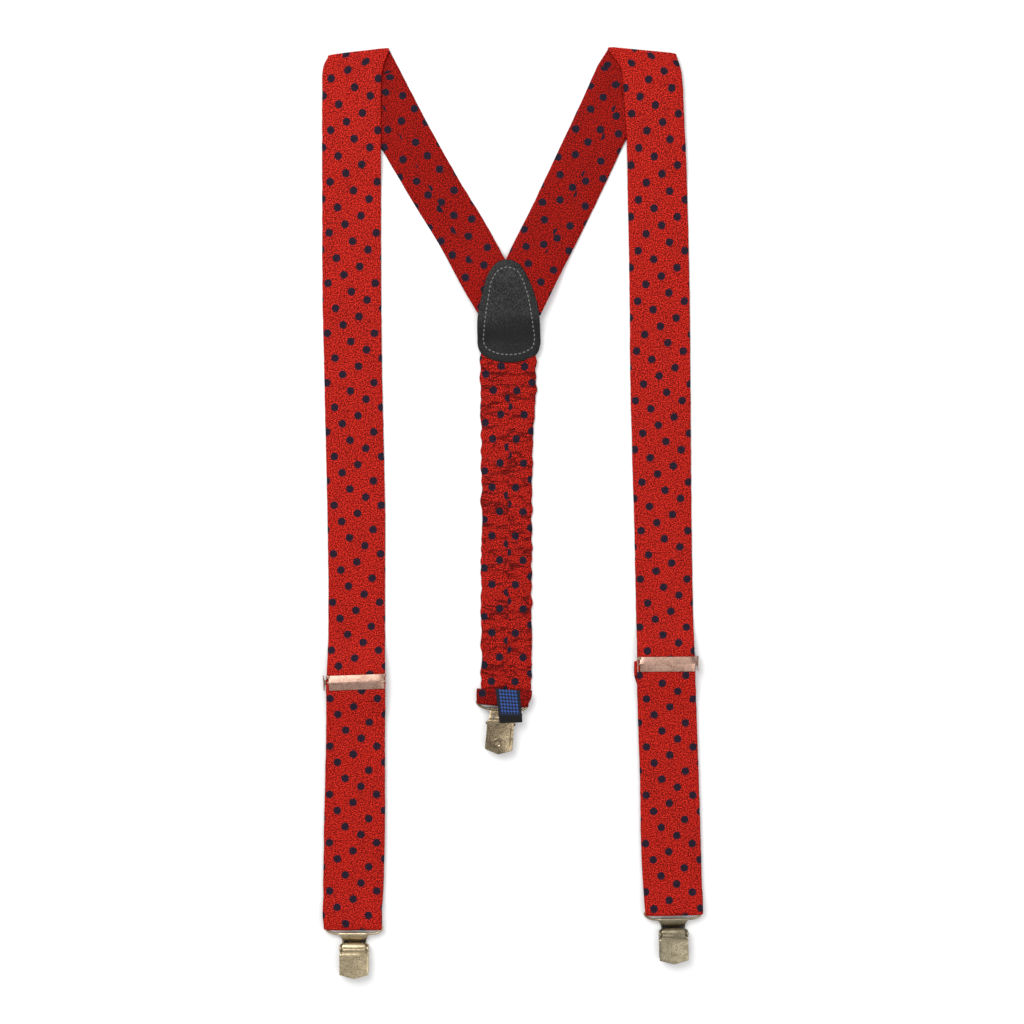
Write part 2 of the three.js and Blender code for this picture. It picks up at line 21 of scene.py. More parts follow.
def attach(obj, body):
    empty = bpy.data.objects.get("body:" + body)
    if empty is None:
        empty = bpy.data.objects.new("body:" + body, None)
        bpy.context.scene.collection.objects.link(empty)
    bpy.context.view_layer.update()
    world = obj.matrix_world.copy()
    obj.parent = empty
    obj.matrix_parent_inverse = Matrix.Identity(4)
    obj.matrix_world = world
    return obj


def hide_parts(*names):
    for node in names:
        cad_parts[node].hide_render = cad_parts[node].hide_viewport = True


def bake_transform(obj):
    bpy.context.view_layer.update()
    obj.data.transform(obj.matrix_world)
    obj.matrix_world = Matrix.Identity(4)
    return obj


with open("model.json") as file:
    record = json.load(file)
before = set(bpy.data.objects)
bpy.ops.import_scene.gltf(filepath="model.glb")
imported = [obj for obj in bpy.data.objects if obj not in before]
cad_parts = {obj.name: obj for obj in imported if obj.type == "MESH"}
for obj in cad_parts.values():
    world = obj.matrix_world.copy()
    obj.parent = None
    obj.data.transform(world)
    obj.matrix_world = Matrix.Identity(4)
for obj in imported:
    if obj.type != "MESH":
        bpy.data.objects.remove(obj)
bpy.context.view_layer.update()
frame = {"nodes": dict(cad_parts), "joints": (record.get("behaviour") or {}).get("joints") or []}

log = logging.getLogger("suspenders")

MM = 0.001
FLOOR = 0.62  # mid height of a strap that lies on the floor
UPPER = 2.1  # mid height of a strap that lies on another
Point = tuple[float, float]
Colour = tuple[float, float, float]


def paint(red: int, green: int, blue: int) -> Colour:
    """A linear colour from a paint chart's 0 to 255 values."""
    shares = (red / 255, green / 255, blue / 255)
    return tuple(c / 12.92 if c <= 10 / 255 else ((c + 0.055) / 1.055) ** 2.4 for c in shares)


# ---------------------------------------------------------------- shader maths


class Value:
    """A shader socket that takes part in sums as a number does."""

    def __init__(self, recipe: "Recipe", socket: bpy.types.NodeSocket) -> None:
        """Keeps the socket and the recipe that it belongs to."""
        self.recipe = recipe
        self.socket = socket

    def _sum(self, operation: str, *terms: "Value | float") -> "Value":
        """The result of one Math node on these terms."""
        return self.recipe.node("ShaderNodeMath", {"operation": operation}, dict(enumerate(terms)))

    def __add__(self, other: "Value | float") -> "Value":
        """self + other."""
        return self._sum("ADD", self, other)

    def __radd__(self, other: float) -> "Value":
        """other + self."""
        return self._sum("ADD", other, self)

    def __sub__(self, other: "Value | float") -> "Value":
        """self - other."""
        return self._sum("SUBTRACT", self, other)

    def __rsub__(self, other: float) -> "Value":
        """other - self."""
        return self._sum("SUBTRACT", other, self)

    def __mul__(self, other: "Value | float") -> "Value":
        """self * other."""
        return self._sum("MULTIPLY", self, other)

    def __rmul__(self, other: float) -> "Value":
        """other * self."""
        return self._sum("MULTIPLY", other, self)

    def __truediv__(self, other: "Value | float") -> "Value":
        """self / other."""
        return self._sum("DIVIDE", self, other)

    def __mod__(self, other: float) -> "Value":
        """self modulo other, never negative."""
        return self._sum("FLOORED_MODULO", self, other)

    def __pow__(self, other: float) -> "Value":
        """self to the power other."""
        return self._sum("POWER", self, other)

    def floor(self) -> "Value":
        """The whole number below."""
        return self._sum("FLOOR", self)

    def size(self) -> "Value":
        """The value without its sign."""
        return self._sum("ABSOLUTE", self)

    def wave(self) -> "Value":
        """Its sine."""
        return self._sum("SINE", self)

    def ramp(self, low: float, high: float) -> "Value":
        """A smooth step.

        Args:
            low: where it is 0; this may be the larger of the two.
            high: where it is 1.

        Returns:
            The step of this value.
        """
        if low <= high:
            return self._step(low, high)
        return 1 - self._step(high, low)

    def _step(self, low: float, high: float) -> "Value":
        """A rising smooth step from low to high."""
        bounds = {"Value": self, "From Min": low, "From Max": high}
        return self.recipe.node("ShaderNodeMapRange", {"interpolation_type": "SMOOTHSTEP"}, bounds)


class Recipe:
    """One material while its nodes are being laid."""

    def __init__(self, name: str) -> None:
        """Starts a material that holds only its Principled shader."""
        self.material = bpy.data.materials.new(name)
        self.material.use_nodes = True
        self.tree = self.material.node_tree
        self.shader = next(n for n in self.tree.nodes if n.type == "BSDF_PRINCIPLED")

    def node(
        self, kind: str, settings: dict | None = None, inputs: dict | None = None, out: int | str = 0
    ) -> Value:
        """Adds one node.

        Args:
            kind: the node's type.
            settings: its properties, set before its sockets; "stops" are a ramp's (place, level) pairs.
            inputs: values or links of its sockets, by name or number.
            out: the output that is wanted.

        Returns:
            The output as a Value.
        """
        made = self.tree.nodes.new(kind)
        for key, setting in (settings or {}).items():
            if key == "stops":
                self._stops(made.color_ramp, setting)
            else:
                setattr(made, key, setting)
        for key, given in (inputs or {}).items():
            self.feed(made.inputs[key], given)
        return Value(self, made.outputs[out])

    @staticmethod
    def _stops(ramp: bpy.types.ColorRamp, stops: Sequence[Point]) -> None:
        """Gives a ramp its grey stops.

        Args:
            ramp: the ramp.
            stops: the place and the level of each stop, both from 0 to 1.
        """
        while len(ramp.elements) < len(stops):
            ramp.elements.new(0.5)
        for element, (place, level) in zip(ramp.elements, stops):
            element.position = place
            element.color = (level, level, level, 1)

    def feed(self, socket: bpy.types.NodeSocket, given: "Value | float | Colour") -> None:
        """Links or sets a socket.

        Args:
            socket: the socket.
            given: a Value to link to it, or a number, vector or colour to set it to.
        """
        if isinstance(given, Value):
            self.tree.links.new(given.socket, socket)
        elif hasattr(given, "__len__") and len(given) == 3 and socket.type == "RGBA":
            socket.default_value = (*given, 1)
        else:
            socket.default_value = given

    def blend(self, factor: "Value | float", first: "Value | Colour", second: "Value | Colour") -> Value:
        """A colour between first, at 0, and second, at 1."""
        return self.node("ShaderNodeMix", {"data_type": "RGBA"}, {0: factor, 6: first, 7: second}, 2)

    def noise(self, place: Value, scale: float, detail: float = 2.0, rough: float = 0.5) -> Value:
        """Soft random lumps.

        Args:
            place: where on the piece or the cloth.
            scale: how many lumps go to one unit of place.
            detail: how many finer layers lie over them.
            rough: how strong each finer layer is against the one before.

        Returns:
            A level from 0 to 1.
        """
        sockets = {"Vector": place, "Scale": scale, "Detail": detail, "Roughness": rough}
        return self.node("ShaderNodeTexNoise", {}, sockets)

    def objects_place(self) -> Value:
        """The place on the object, in metres."""
        return self.node("ShaderNodeTexCoord", {}, {}, "Object")

    def sewn_place(self, name: str) -> tuple[Value, Value, Value]:
        """The place on the cloth from one UV map: as a vector, then across and along."""
        place = self.node("ShaderNodeUVMap", {"uv_map": name}, {})
        return (place, *self.split(place))

    def split(self, place: Value) -> tuple[Value, Value]:
        """The x and the y of a vector."""
        x = self.node("ShaderNodeSeparateXYZ", {}, {0: place})
        return x, Value(self, x.socket.node.outputs[1])

    def vector(self, across: "Value | float", along: "Value | float", depth: "Value | float" = 0.0) -> Value:
        """A vector from three numbers."""
        return self.node("ShaderNodeCombineXYZ", {}, {0: across, 1: along, 2: depth})

    def relief(
        self, height: Value, distance: float, strength: float = 1.0, under: Value | None = None
    ) -> Value:
        """A bump.

        Args:
            height: its level at each place.
            distance: what a level of 1 stands for, in metres.
            strength: how much of it shows.
            under: another bump that it lies on.

        Returns:
            The normal.
        """
        inputs = {"Height": height, "Distance": distance, "Strength": strength}
        if under is not None:
            inputs["Normal"] = under
        return self.node("ShaderNodeBump", {}, inputs)

    def finish(self, **sockets: "Value | float | Colour") -> bpy.types.Material:
        """Feeds the shader's sockets.

        Args:
            **sockets: what each socket is given, under its name with _ for a space.

        Returns:
            The finished material.
        """
        for name, given in sockets.items():
            self.feed(self.shader.inputs[name.replace("_", " ")], given)
        return self.material


# ---------------------------------------------------------------- finishes

LATTICE = "lattice"  # the straps' UV map: across in dot columns, along in repeats
RIBBON = "ribbon"  # the label's UV map, in millimetres
COLUMN = 4.66  # mm from one column of dots to the next
REPEAT = 28.8  # mm from a dot to the next in its column
LOWER_BY = (5, 3, 0, 2, 4, 1)  # sixths of a repeat that each of six columns is lowered by


@dataclass(frozen=True)
class DottedSatin:
    """Red satin printed with small dark spots in a six-column repeat."""

    name: str
    ground: Colour
    shade: Colour
    shine: Colour
    spot: Colour = paint(17, 20, 33)
    bloom: Colour = paint(40, 50, 70)
    radius: float = 2.35
    pucker_shade_and_relief: float = 0.0  # how strongly the cross puckers show, in relief and as painted shade in their creases

    def material(self) -> bpy.types.Material:
        """Makes the cloth: spots, warp and weft, slubs, a soft gloss and painted shade in the creases of its
        puckers.
        """
        mix = Recipe(self.name)
        _, across, along = mix.sewn_place(LATTICE)
        column = (across + 0.5).floor()
        stops = [(i / 6, low / 6) for i, low in enumerate(LOWER_BY)]
        turn = (column % 6 + 0.5) / 6
        lowered = mix.node("ShaderNodeValToRGB", {"stops": stops}, {"Fac": turn})
        lowered.socket.node.color_ramp.interpolation = "CONSTANT"
        aside = (across - column) * COLUMN
        ahead = ((along - lowered + 0.5) % 1.0 - 0.5) * REPEAT
        place = mix.vector(across * COLUMN, along * REPEAT)
        ragged = (mix.noise(place, 1.6, 3) - 0.5) * 0.5
        away = (aside * aside + ahead * ahead) ** 0.5 + ragged
        spots = away.ramp(self.radius + 0.3, self.radius - 0.35)
        cloudy = mix.noise(mix.vector(across * COLUMN, along * REPEAT * 0.35), 0.09, 3)
        threads = ((across * COLUMN * 15.7 + along * REPEAT * 5.2).wave() + 1) * 0.5
        weft = ((along * REPEAT * 17.4).wave() + 1) * 0.5
        slub = mix.noise(mix.vector(across * COLUMN * 5, along * REPEAT * 0.5), 0.9, 2)
        fleck = mix.noise(place, 1.5, 1, 0.9)
        cloth = mix.blend(cloudy.ramp(0.3, 0.75) * 0.45, self.ground, self.shade)
        cloth = mix.blend(slub.ramp(0.3, 0.8) * 0.25 + threads * 0.15, cloth, self.shade)
        cloth = mix.blend(fleck.ramp(0.5, 0.4), cloth, self.shade)
        cloth = mix.blend(fleck.ramp(0.5, 0.6), cloth, self.shine)
        spot = mix.blend(fleck.ramp(0.5, 0.7) * 0.6, self.spot, self.bloom)
        # Cross puckers: their creases are painted darker with the shade colour as painted shade, and the same
        # pattern raises the bump.
        folds = mix.noise(mix.vector(across * COLUMN * 0.22, along * REPEAT), 0.15, 3)
        pucker_shade = (folds - 0.5).size().ramp(0.04, 0.0)
        cloth = mix.blend(pucker_shade * self.pucker_shade_and_relief, cloth, self.shade)
        weave = mix.relief(threads * 0.6 + weft * 0.3 + fleck * 0.8, 0.00012, 0.6)
        soft = mix.relief(cloudy + folds * self.pucker_shade_and_relief * 1.5, 0.0012, 0.45, weave)
        return mix.finish(
            Base_Color=mix.blend(spots * 0.97, cloth, spot),
            Roughness=0.46 + slub * 0.12 + spots * 0.15,
            Normal=soft,
            Specular_IOR_Level=0.05,
        )


@dataclass(frozen=True)
class Leather:
    """Charcoal leather with a fine pebbled grain, painted darker across its bend and below it as shade."""

    name: str = "charcoal_leather"
    hide: Colour = paint(25, 26, 26)
    # The crease colour is the grain's crevices, and also the painted shade across the bend and below it.
    crease: Colour = paint(8, 9, 11)
    worn: Colour = paint(57, 57, 56)
    bend: tuple[float, float] = (0.1035, 0.1125)  # in metres, where the leather bends over the straps' ends and is painted darker as shade

    def material(self) -> bpy.types.Material:
        """Makes the hide: pebbles, pores, broad creases, rubbed high spots, and painted shade across the bend
        and below it.
        """
        mix = Recipe(self.name)
        place = mix.objects_place()
        warp = mix.noise(place, 420, 3)
        pebble = mix.node(
            "ShaderNodeTexVoronoi", {"feature": "DISTANCE_TO_EDGE"}, {"Vector": place, "Scale": 900.0}
        )
        grain = pebble.ramp(0.0, 0.32) * 0.7 + warp * 0.5
        broad = mix.noise(place, 70, 4)
        fleck = mix.noise(place, 1700, 1, 0.9)
        _, down = mix.split(place)
        bent = down + (mix.noise(place, 60, 3) - 0.5) * 0.012
        # A band across the bend is painted darker, as shade where the leather dips over the straps' ends.
        band = bent.ramp(self.bend[0] - 0.006, self.bend[0]) * bent.ramp(self.bend[1] + 0.005, self.bend[1])
        colour = mix.blend(grain.ramp(0.2, 0.8), self.crease, self.hide)
        colour = mix.blend(broad.ramp(0.5, 0.75) * 0.3 + fleck.ramp(0.5, 0.64), colour, self.worn)
        colour = mix.blend(fleck.ramp(0.5, 0.4), colour, self.crease)
        # Below the bend the lower step is painted darker still, as shade.
        below = bent.ramp(self.bend[1] + 0.005, self.bend[0])
        colour = mix.blend(band * 0.3 + below * 0.55, colour, self.crease)
        fine = mix.relief(grain + fleck * 0.6, 0.00016, 0.7)
        return mix.finish(
            Base_Color=colour,
            Roughness=0.62 - grain * 0.16 + broad * 0.1,
            Normal=mix.relief(broad, 0.0006, 0.4, fine),
            Specular_IOR_Level=0.2,
        )


@dataclass(frozen=True)
class Thread:
    """Waxed sewing thread, twisted from plies."""

    name: str = "sewing_thread"
    ply: Colour = paint(140, 139, 132)
    gap: Colour = paint(40, 40, 42)

    def material(self) -> bpy.types.Material:
        """Makes the thread with its diagonal plies."""
        mix = Recipe(self.name)
        place = mix.objects_place()
        x, y = mix.split(place)
        plies = ((x * 9000 + y * 9000).wave() + 1) * 0.5
        fuzz = mix.noise(place, 2500, 2)
        return mix.finish(
            Base_Color=mix.blend(plies * 0.6 + fuzz * 0.3, self.gap, self.ply),
            Roughness=0.55 + fuzz * 0.2,
            Normal=mix.relief(plies, 0.00006, 0.7),
            Sheen_Weight=0.15,
        )


@dataclass(frozen=True)
class WovenLabel:
    """A navy ribbon with a plain woven band of lozenges, and a black folded end."""

    name: str = "woven_ribbon"
    ground: Colour = paint(17, 21, 32)
    figure: Colour = paint(52, 92, 176)
    hem: Colour = paint(9, 9, 11)
    fold: float = 15.5

    def material(self) -> bpy.types.Material:
        """Makes the ribbon: ribs, lozenge rows and the black end."""
        mix = Recipe(self.name)
        place, across, along = mix.sewn_place(RIBBON)
        ribs = ((along * 15.0).wave() + 1) * 0.5
        warp = ((across * 21.0).wave() + 1) * 0.5
        lozenge = ((across * 0.55) % 1.0 - 0.5).size() + ((along * 0.5) % 1.0 - 0.5).size()
        rows = lozenge.ramp(0.5, 0.42)
        border = (across.size()).ramp(5.6, 5.4)
        figure = rows * border * along.ramp(self.fold - 0.7, self.fold - 1.0)
        worn = mix.noise(place, 1.4, 3)
        cloth = mix.blend(figure * (0.55 + ribs * 0.3) * worn.ramp(0.2, 0.55), self.ground, self.figure)
        cloth = mix.blend(along.ramp(self.fold, self.fold + 0.3), cloth, self.hem)
        return mix.finish(
            Base_Color=cloth,
            Roughness=0.62 + ribs * 0.1,
            Normal=mix.relief(ribs * 0.7 + warp * 0.3, 0.00007, 0.6),
            Specular_IOR_Level=0.2,
        )


@dataclass(frozen=True)
class Nickel:
    """Nickel-plated steel, warm in tone, with fine scuffs and dull patches."""

    name: str = "nickel_plate"
    plate: Colour = paint(196, 180, 148)
    dull: Colour = paint(118, 106, 84)
    gloss: float = 0.26

    def material(self) -> bpy.types.Material:
        """Makes the plating: cloudy polish, hairline scuffs and pits."""
        mix = Recipe(self.name)
        place = mix.objects_place()
        cloudy = mix.noise(place, 260, 4)
        stretched = mix.node("ShaderNodeMapping", {}, {"Vector": place, "Scale": (300.0, 6000.0, 3000.0)})
        hairs = mix.noise(stretched, 1.0, 3)
        pits = mix.noise(place, 1700, 1, 0.9).ramp(0.44, 0.6)
        tone = mix.blend(cloudy.ramp(0.35, 0.75) * 0.4 + pits * 0.6, self.plate, self.dull)
        return mix.finish(
            Base_Color=tone,
            Metallic=1.0,
            Roughness=self.gloss + cloudy * 0.12 + hairs.ramp(0.5, 0.8) * 0.1,
            Normal=mix.relief(hairs * 0.6 + cloudy - pits * 0.4, 0.00004, 0.5),
        )


@dataclass(frozen=True)
class GripRubber:
    """The clip's moulded grip pad."""

    name: str = "grip_rubber"
    body: Colour = paint(34, 34, 36)
    dust: Colour = paint(74, 72, 70)

    def material(self) -> bpy.types.Material:
        """Makes the rubber: fine texture, ribs and dust."""
        mix = Recipe(self.name)
        place = mix.objects_place()
        fine = mix.noise(place, 1800, 3)
        broad = mix.noise(place, 160, 3)
        return mix.finish(
            Base_Color=mix.blend(broad.ramp(0.5, 0.8) * 0.5, self.body, self.dust),
            Roughness=0.7 + fine * 0.15,
            Normal=mix.relief(fine, 0.0001, 0.5),
        )


@dataclass(frozen=True)
class Paper:
    """The plain floor."""

    name: str = "floor_paper"
    tone: Colour = (0.86, 0.86, 0.86)

    def material(self) -> bpy.types.Material:
        """Makes the matt floor."""
        mix = Recipe(self.name)
        return mix.finish(Base_Color=self.tone, Roughness=0.9, Specular_IOR_Level=0.1)


# ---------------------------------------------------------------- modelling by hand


def deselect() -> None:
    """Leaves object mode with nothing selected."""
    if bpy.context.object and bpy.context.object.mode != "OBJECT":
        bpy.ops.object.mode_set(mode="OBJECT")
    bpy.ops.object.select_all(action="DESELECT")


def pick(obj: bpy.types.Object) -> None:
    """Selects one object alone and makes it active."""
    deselect()
    obj.select_set(True)
    bpy.context.view_layer.objects.active = obj


def add(name: str, data: bpy.types.ID) -> bpy.types.Object:
    """A new object of the scene that holds this data."""
    obj = bpy.data.objects.new(name, data)
    bpy.context.scene.collection.objects.link(obj)
    return obj


def settle(obj: bpy.types.Object) -> None:
    """Moves an object's place into its mesh, so that the object sits at the origin."""
    bpy.context.view_layer.update()
    obj.data.transform(obj.matrix_world)
    obj.matrix_world = Matrix.Identity(4)


def stand(obj: bpy.types.Object, x: float) -> bpy.types.Object:
    """Stands a flat plate on edge at x: its x becomes y, and its y becomes z."""
    obj.data.transform(Matrix(((0, 0, 1, x * MM), (1, 0, 0, 0), (0, 1, 0, 0), (0, 0, 0, 1))))
    return obj


def modify(obj: bpy.types.Object, kind: str, **settings: object) -> None:
    """Adds one modifier and applies it.

    Args:
        obj: the piece.
        kind: the modifier's type.
        **settings: its properties.
    """
    pick(obj)
    modifier = obj.modifiers.new(kind.title(), kind)
    for name, setting in settings.items():
        setattr(modifier, name, setting)
    bpy.ops.object.modifier_apply(modifier=modifier.name)


def soften(obj: bpy.types.Object, width: float, segments: int = 2) -> bpy.types.Object:
    """Rounds the sharp edges of a piece and shades it smoothly.

    Args:
        obj: the piece.
        width: how far its edges are rounded.
        segments: how many facets that takes.

    Returns:
        The piece.
    """
    bevel = {"width": width * MM, "segments": segments}
    bevel |= {"limit_method": "ANGLE", "angle_limit": math.radians(35)}
    modify(obj, "BEVEL", **bevel)
    bpy.ops.object.shade_smooth_by_angle(angle=math.radians(40))
    return obj


def outward(obj: bpy.types.Object) -> bpy.types.Object:
    """Merges doubles and turns every face out."""
    pick(obj)
    bpy.ops.object.mode_set(mode="EDIT")
    bpy.ops.mesh.select_all(action="SELECT")
    bpy.ops.mesh.remove_doubles(threshold=1e-6)
    bpy.ops.mesh.normals_make_consistent(inside=False)
    bpy.ops.object.mode_set(mode="OBJECT")
    return obj


def plate(outline: Sequence[Point], low: float, high: float, bevel: float = 0.15) -> bpy.types.Object:
    """A flat plate cut to an outline.

    Args:
        outline: its corners in order.
        low: height of its lower face.
        high: height of its upper face.
        bevel: how far its edges are rounded.

    Returns:
        The plate.
    """
    deselect()
    bpy.ops.mesh.primitive_circle_add(vertices=len(outline), radius=0.01, fill_type="NGON")
    obj = bpy.context.object
    for vertex, (x, y) in zip(obj.data.vertices, outline):
        vertex.co = Vector((x, y, low)) * MM
    bpy.ops.object.mode_set(mode="EDIT")
    bpy.ops.mesh.select_all(action="SELECT")
    bpy.ops.mesh.extrude_region_move(TRANSFORM_OT_translate={"value": (0, 0, (high - low) * MM)})
    bpy.ops.object.mode_set(mode="OBJECT")
    outward(obj)
    return soften(obj, bevel) if bevel else obj


def rod(start: Sequence[float], end: Sequence[float], radius: float, dish: float = 0.3) -> bpy.types.Object:
    """A round bar with rounded rims and slightly dished ends.

    Args:
        start: the middle of one end.
        end: the middle of the other.
        radius: its radius.
        dish: how broad the rim round each dished end is, as a share of the radius.

    Returns:
        The bar.
    """
    first, last = Vector(start) * MM, Vector(end) * MM
    deselect()
    bpy.ops.mesh.primitive_cylinder_add(vertices=32, radius=radius * MM, depth=(last - first).length)
    obj = bpy.context.object
    bpy.ops.object.mode_set(mode="EDIT")
    bpy.ops.mesh.select_all(action="DESELECT")
    bpy.ops.object.mode_set(mode="OBJECT")
    for face in obj.data.polygons:
        face.select = abs(face.normal.z) > 0.9
    bpy.ops.object.mode_set(mode="EDIT")
    bpy.ops.mesh.inset(thickness=radius * dish * MM, use_individual=True)
    bpy.ops.mesh.inset(thickness=radius * 0.2 * MM, depth=-radius * 0.15 * MM, use_individual=True)
    bpy.ops.object.mode_set(mode="OBJECT")
    turn = (last - first).to_track_quat("Z", "Y").to_matrix().to_4x4()
    obj.data.transform(Matrix.Translation((first + last) / 2) @ turn)
    return soften(obj, radius * 0.12)


def wire(points: Sequence[Sequence[float]], radius: float, closed: bool = False) -> bpy.types.Object:
    """A round wire with rounded bends.

    Args:
        points: the corners that it is bent round.
        radius: its radius.
        closed: whether it is a ring.

    Returns:
        The wire, as a mesh.
    """
    curve = bpy.data.curves.new("wire", "CURVE")
    curve.dimensions = "3D"
    spline = curve.splines.new("NURBS")
    spline.points.add(len(points) - 1)
    for place, point in zip(spline.points, points):
        place.co = (*(Vector(point) * MM), 1)
    spline.order_u = 3
    spline.use_cyclic_u = closed
    spline.use_endpoint_u = not closed
    spline.resolution_u = 8
    curve.bevel_depth = radius * MM
    curve.bevel_resolution = 5
    curve.use_fill_caps = True
    pick(add("wire", curve))
    bpy.ops.object.convert(target="MESH")
    obj = bpy.context.object
    bpy.ops.object.shade_smooth()
    return obj


def bent_sheet(
    rows: Sequence[tuple[float, float, float]], across: int, crown: float, wall: float
) -> bpy.types.Object:
    """A stamped sheet of metal.

    Args:
        rows: for each row along the sheet, its y, its half width and the height of its top.
        across: how many cells it has from side to side.
        crown: how far its middle stands above its sides.
        wall: its thickness.

    Returns:
        The sheet, solid and with softened edges.
    """
    deselect()
    bpy.ops.mesh.primitive_grid_add(x_subdivisions=across, y_subdivisions=len(rows) - 1, size=1.0)
    obj = bpy.context.object
    count = across + 1
    for index, vertex in enumerate(obj.data.vertices):
        y, half, top = rows[index // count]
        side = 2 * (index % count) / across - 1
        vertex.co = Vector((side * half, y, top - crown * side * side)) * MM
    outward(obj)
    if sum(face.normal.z for face in obj.data.polygons) < 0:
        obj.data.flip_normals()
    modify(obj, "SOLIDIFY", thickness=wall * MM, offset=-1.0)
    return soften(obj, min(0.2, wall * 0.3))


def join(name: str, parts: Sequence[bpy.types.Object]) -> bpy.types.Object:
    """Makes one piece of several.

    Args:
        name: the piece's name.
        parts: its parts, each placed in its own mesh already.

    Returns:
        The piece.
    """
    deselect()
    for part in parts:
        part.select_set(True)
    bpy.context.view_layer.objects.active = parts[0]
    bpy.ops.object.join()
    obj = bpy.context.object
    obj.name = name
    obj.data.name = name
    settle(obj)
    return obj


def mesh_piece(name: str, points: np.ndarray, faces: Sequence[Sequence[int]]) -> bpy.types.Object:
    """A piece with a smooth mesh.

    Args:
        name: the piece's name.
        points: its points, in millimetres.
        faces: the points of each face, by number.

    Returns:
        The piece.
    """
    mesh = bpy.data.meshes.new(name)
    mesh.from_pydata([tuple(p) for p in points * MM], [], [tuple(f) for f in faces])
    mesh.polygons.foreach_set("use_smooth", [True] * len(mesh.polygons))
    mesh.update()
    return add(name, mesh)


def dress(obj: bpy.types.Object, slot: str, *finishes: bpy.types.Material) -> bpy.types.Object:
    """Finishes a piece.

    Args:
        obj: the piece.
        slot: the record's material slot for it; not used.
        *finishes: its materials, in the order of its faces' material numbers.

    Returns:
        The piece.
    """
    while len(obj.data.materials) < len(finishes):
        obj.data.materials.append(None)
    for index, finish in enumerate(finishes):
        obj.data.materials[index] = finish
    return obj


def refinish(name: str, finish: bpy.types.Material) -> None:
    """Gives a CAD node that stays in sight its finish."""
    materials = frame["nodes"][name].data.materials
    materials.clear()
    materials.append(finish)


def hinge(name: str) -> dict:
    """The named joint of the frame."""
    return next(j for j in frame["joints"] if j["name"] == name)


# ---------------------------------------------------------------- straps


@dataclass(frozen=True)
class Lattice:
    """Where the printed dots fall on one face of a strap, or on one half of it.

    drift and rows are polynomials in the place along the strap, in units of REACH.
    """

    drift: tuple[float, ...]
    rows: tuple[float, ...]
    spread: float = 1 / COLUMN
    first: int = 0
    pull: tuple[float, float] = (0.0, 0.0)  # how the cloth is pulled aside and down towards the fold, in mm
    turned: float = 0.0  # how far the cloth lies turned against the strap, in degrees

    REACH = 250.0
    PULLED = 0.8  # where that pull begins, in units of REACH

    def at(self, across: np.ndarray, along: np.ndarray) -> tuple[np.ndarray, np.ndarray]:
        """Turns a place on the strap into a place on the printed pattern.

        Args:
            across: how far from the strap's middle.
            along: how far along the strap.

        Returns:
            The dot column and the repeat.
        """
        sine, cosine = math.sin(math.radians(self.turned)), math.cos(math.radians(self.turned))
        across, along = across * cosine + along * sine, along * cosine - across * sine
        pulled = np.maximum(0.0, along / self.REACH - self.PULLED) ** 2
        z = (along + self.pull[1] * pulled) / self.REACH
        column = (across - self.pull[0] * pulled) * self.spread + self.first
        drift, repeat = (sum(c * z**i for i, c in enumerate(terms)) for terms in (self.drift, self.rows))
        return column + drift, repeat


def middles(rows: np.ndarray) -> np.ndarray:
    """The middle of the strap at each station."""
    return np.stack([(rows[:, 0] + rows[:, 2]) / 2, (rows[:, 1] + rows[:, 3]) / 2, rows[:, 4]], 1)


def reaches(points: np.ndarray) -> np.ndarray:
    """How far along a line of points each of them lies."""
    return np.concatenate([[0], np.cumsum(np.linalg.norm(np.diff(points, axis=0), axis=1))])


def through(known: np.ndarray, reach: np.ndarray, wanted: np.ndarray) -> np.ndarray:
    """Rows on a smooth curve through a few known ones.

    Args:
        known: the rows that it goes through.
        reach: how far along the curve each of them lies.
        wanted: how far along it the new rows lie.

    Returns:
        The new rows.
    """
    slope = np.gradient(known, reach, axis=0)
    span = np.clip(np.searchsorted(reach, wanted, side="right") - 1, 0, len(reach) - 2)
    length = (reach[span + 1] - reach[span])[:, None]
    t = ((wanted - reach[span]) / length[:, 0])[:, None]
    return (
        (2 * t**3 - 3 * t**2 + 1) * known[span]
        + (t**3 - 2 * t**2 + t) * length * slope[span]
        + (3 * t**2 - 2 * t**3) * known[span + 1]
        + (t**3 - t**2) * length * slope[span + 1]
    )


def smooth(rows: Sequence[Sequence[float]], step: float) -> np.ndarray:
    """Evenly spaced stations on a smooth curve through a few.

    Args:
        rows: stations, each the x and y of the left edge, the x and y of the right edge, and the mid height.
        step: the spacing wanted.

    Returns:
        An array of stations.
    """
    known = np.array(rows, float)
    reach = reaches(middles(known))
    count = max(2, round(reach[-1] / step))
    return through(known, reach, np.linspace(0, reach[-1], count + 1))


def turn(
    left: Point, right: Point, height: float, radius: float, way: float, first: float, last: float
) -> np.ndarray:
    """Stations round a bar or a crease.

    Args:
        left: left end of the axis.
        right: right end of the axis.
        height: height of the axis.
        radius: radius of the strap's middle.
        way: +1 if angle 0 points up the strap in y, -1 if down.
        first: first angle in degrees; 90 is on top.
        last: last angle in degrees.

    Returns:
        An array of stations.
    """
    axis = np.array(right) - np.array(left)
    axis = axis / np.linalg.norm(axis)
    aside = np.array([-axis[1], axis[0]]) * way
    rows = []
    for angle in np.radians(np.linspace(first, last, 11)):
        shift = aside * math.cos(angle) * radius
        rows.append([left[0] + shift[0], left[1] + shift[1], right[0] + shift[0], right[1] + shift[1]])
        rows[-1].append(height + math.sin(angle) * radius)
    return np.array(rows)


def still(across: float, along: float) -> float:
    """No relief at all."""
    return 0.0


def rumpled(height: float, size: float, seed: float) -> Callable[[float, float], float]:
    """A soft relief of broad lumps, never below the cloth's plain height.

    Args:
        height: how high the lumps are.
        size: how broad they are.
        seed: which pattern of lumps is taken.

    Returns:
        The lift, as a function of the place across and along.
    """

    def lift(across: float, along: float) -> float:
        """The lift at a place on the strap."""
        return height * (0.5 + 0.5 * noise.noise(Vector((across / size, along / size / 1.6, seed))))

    return lift


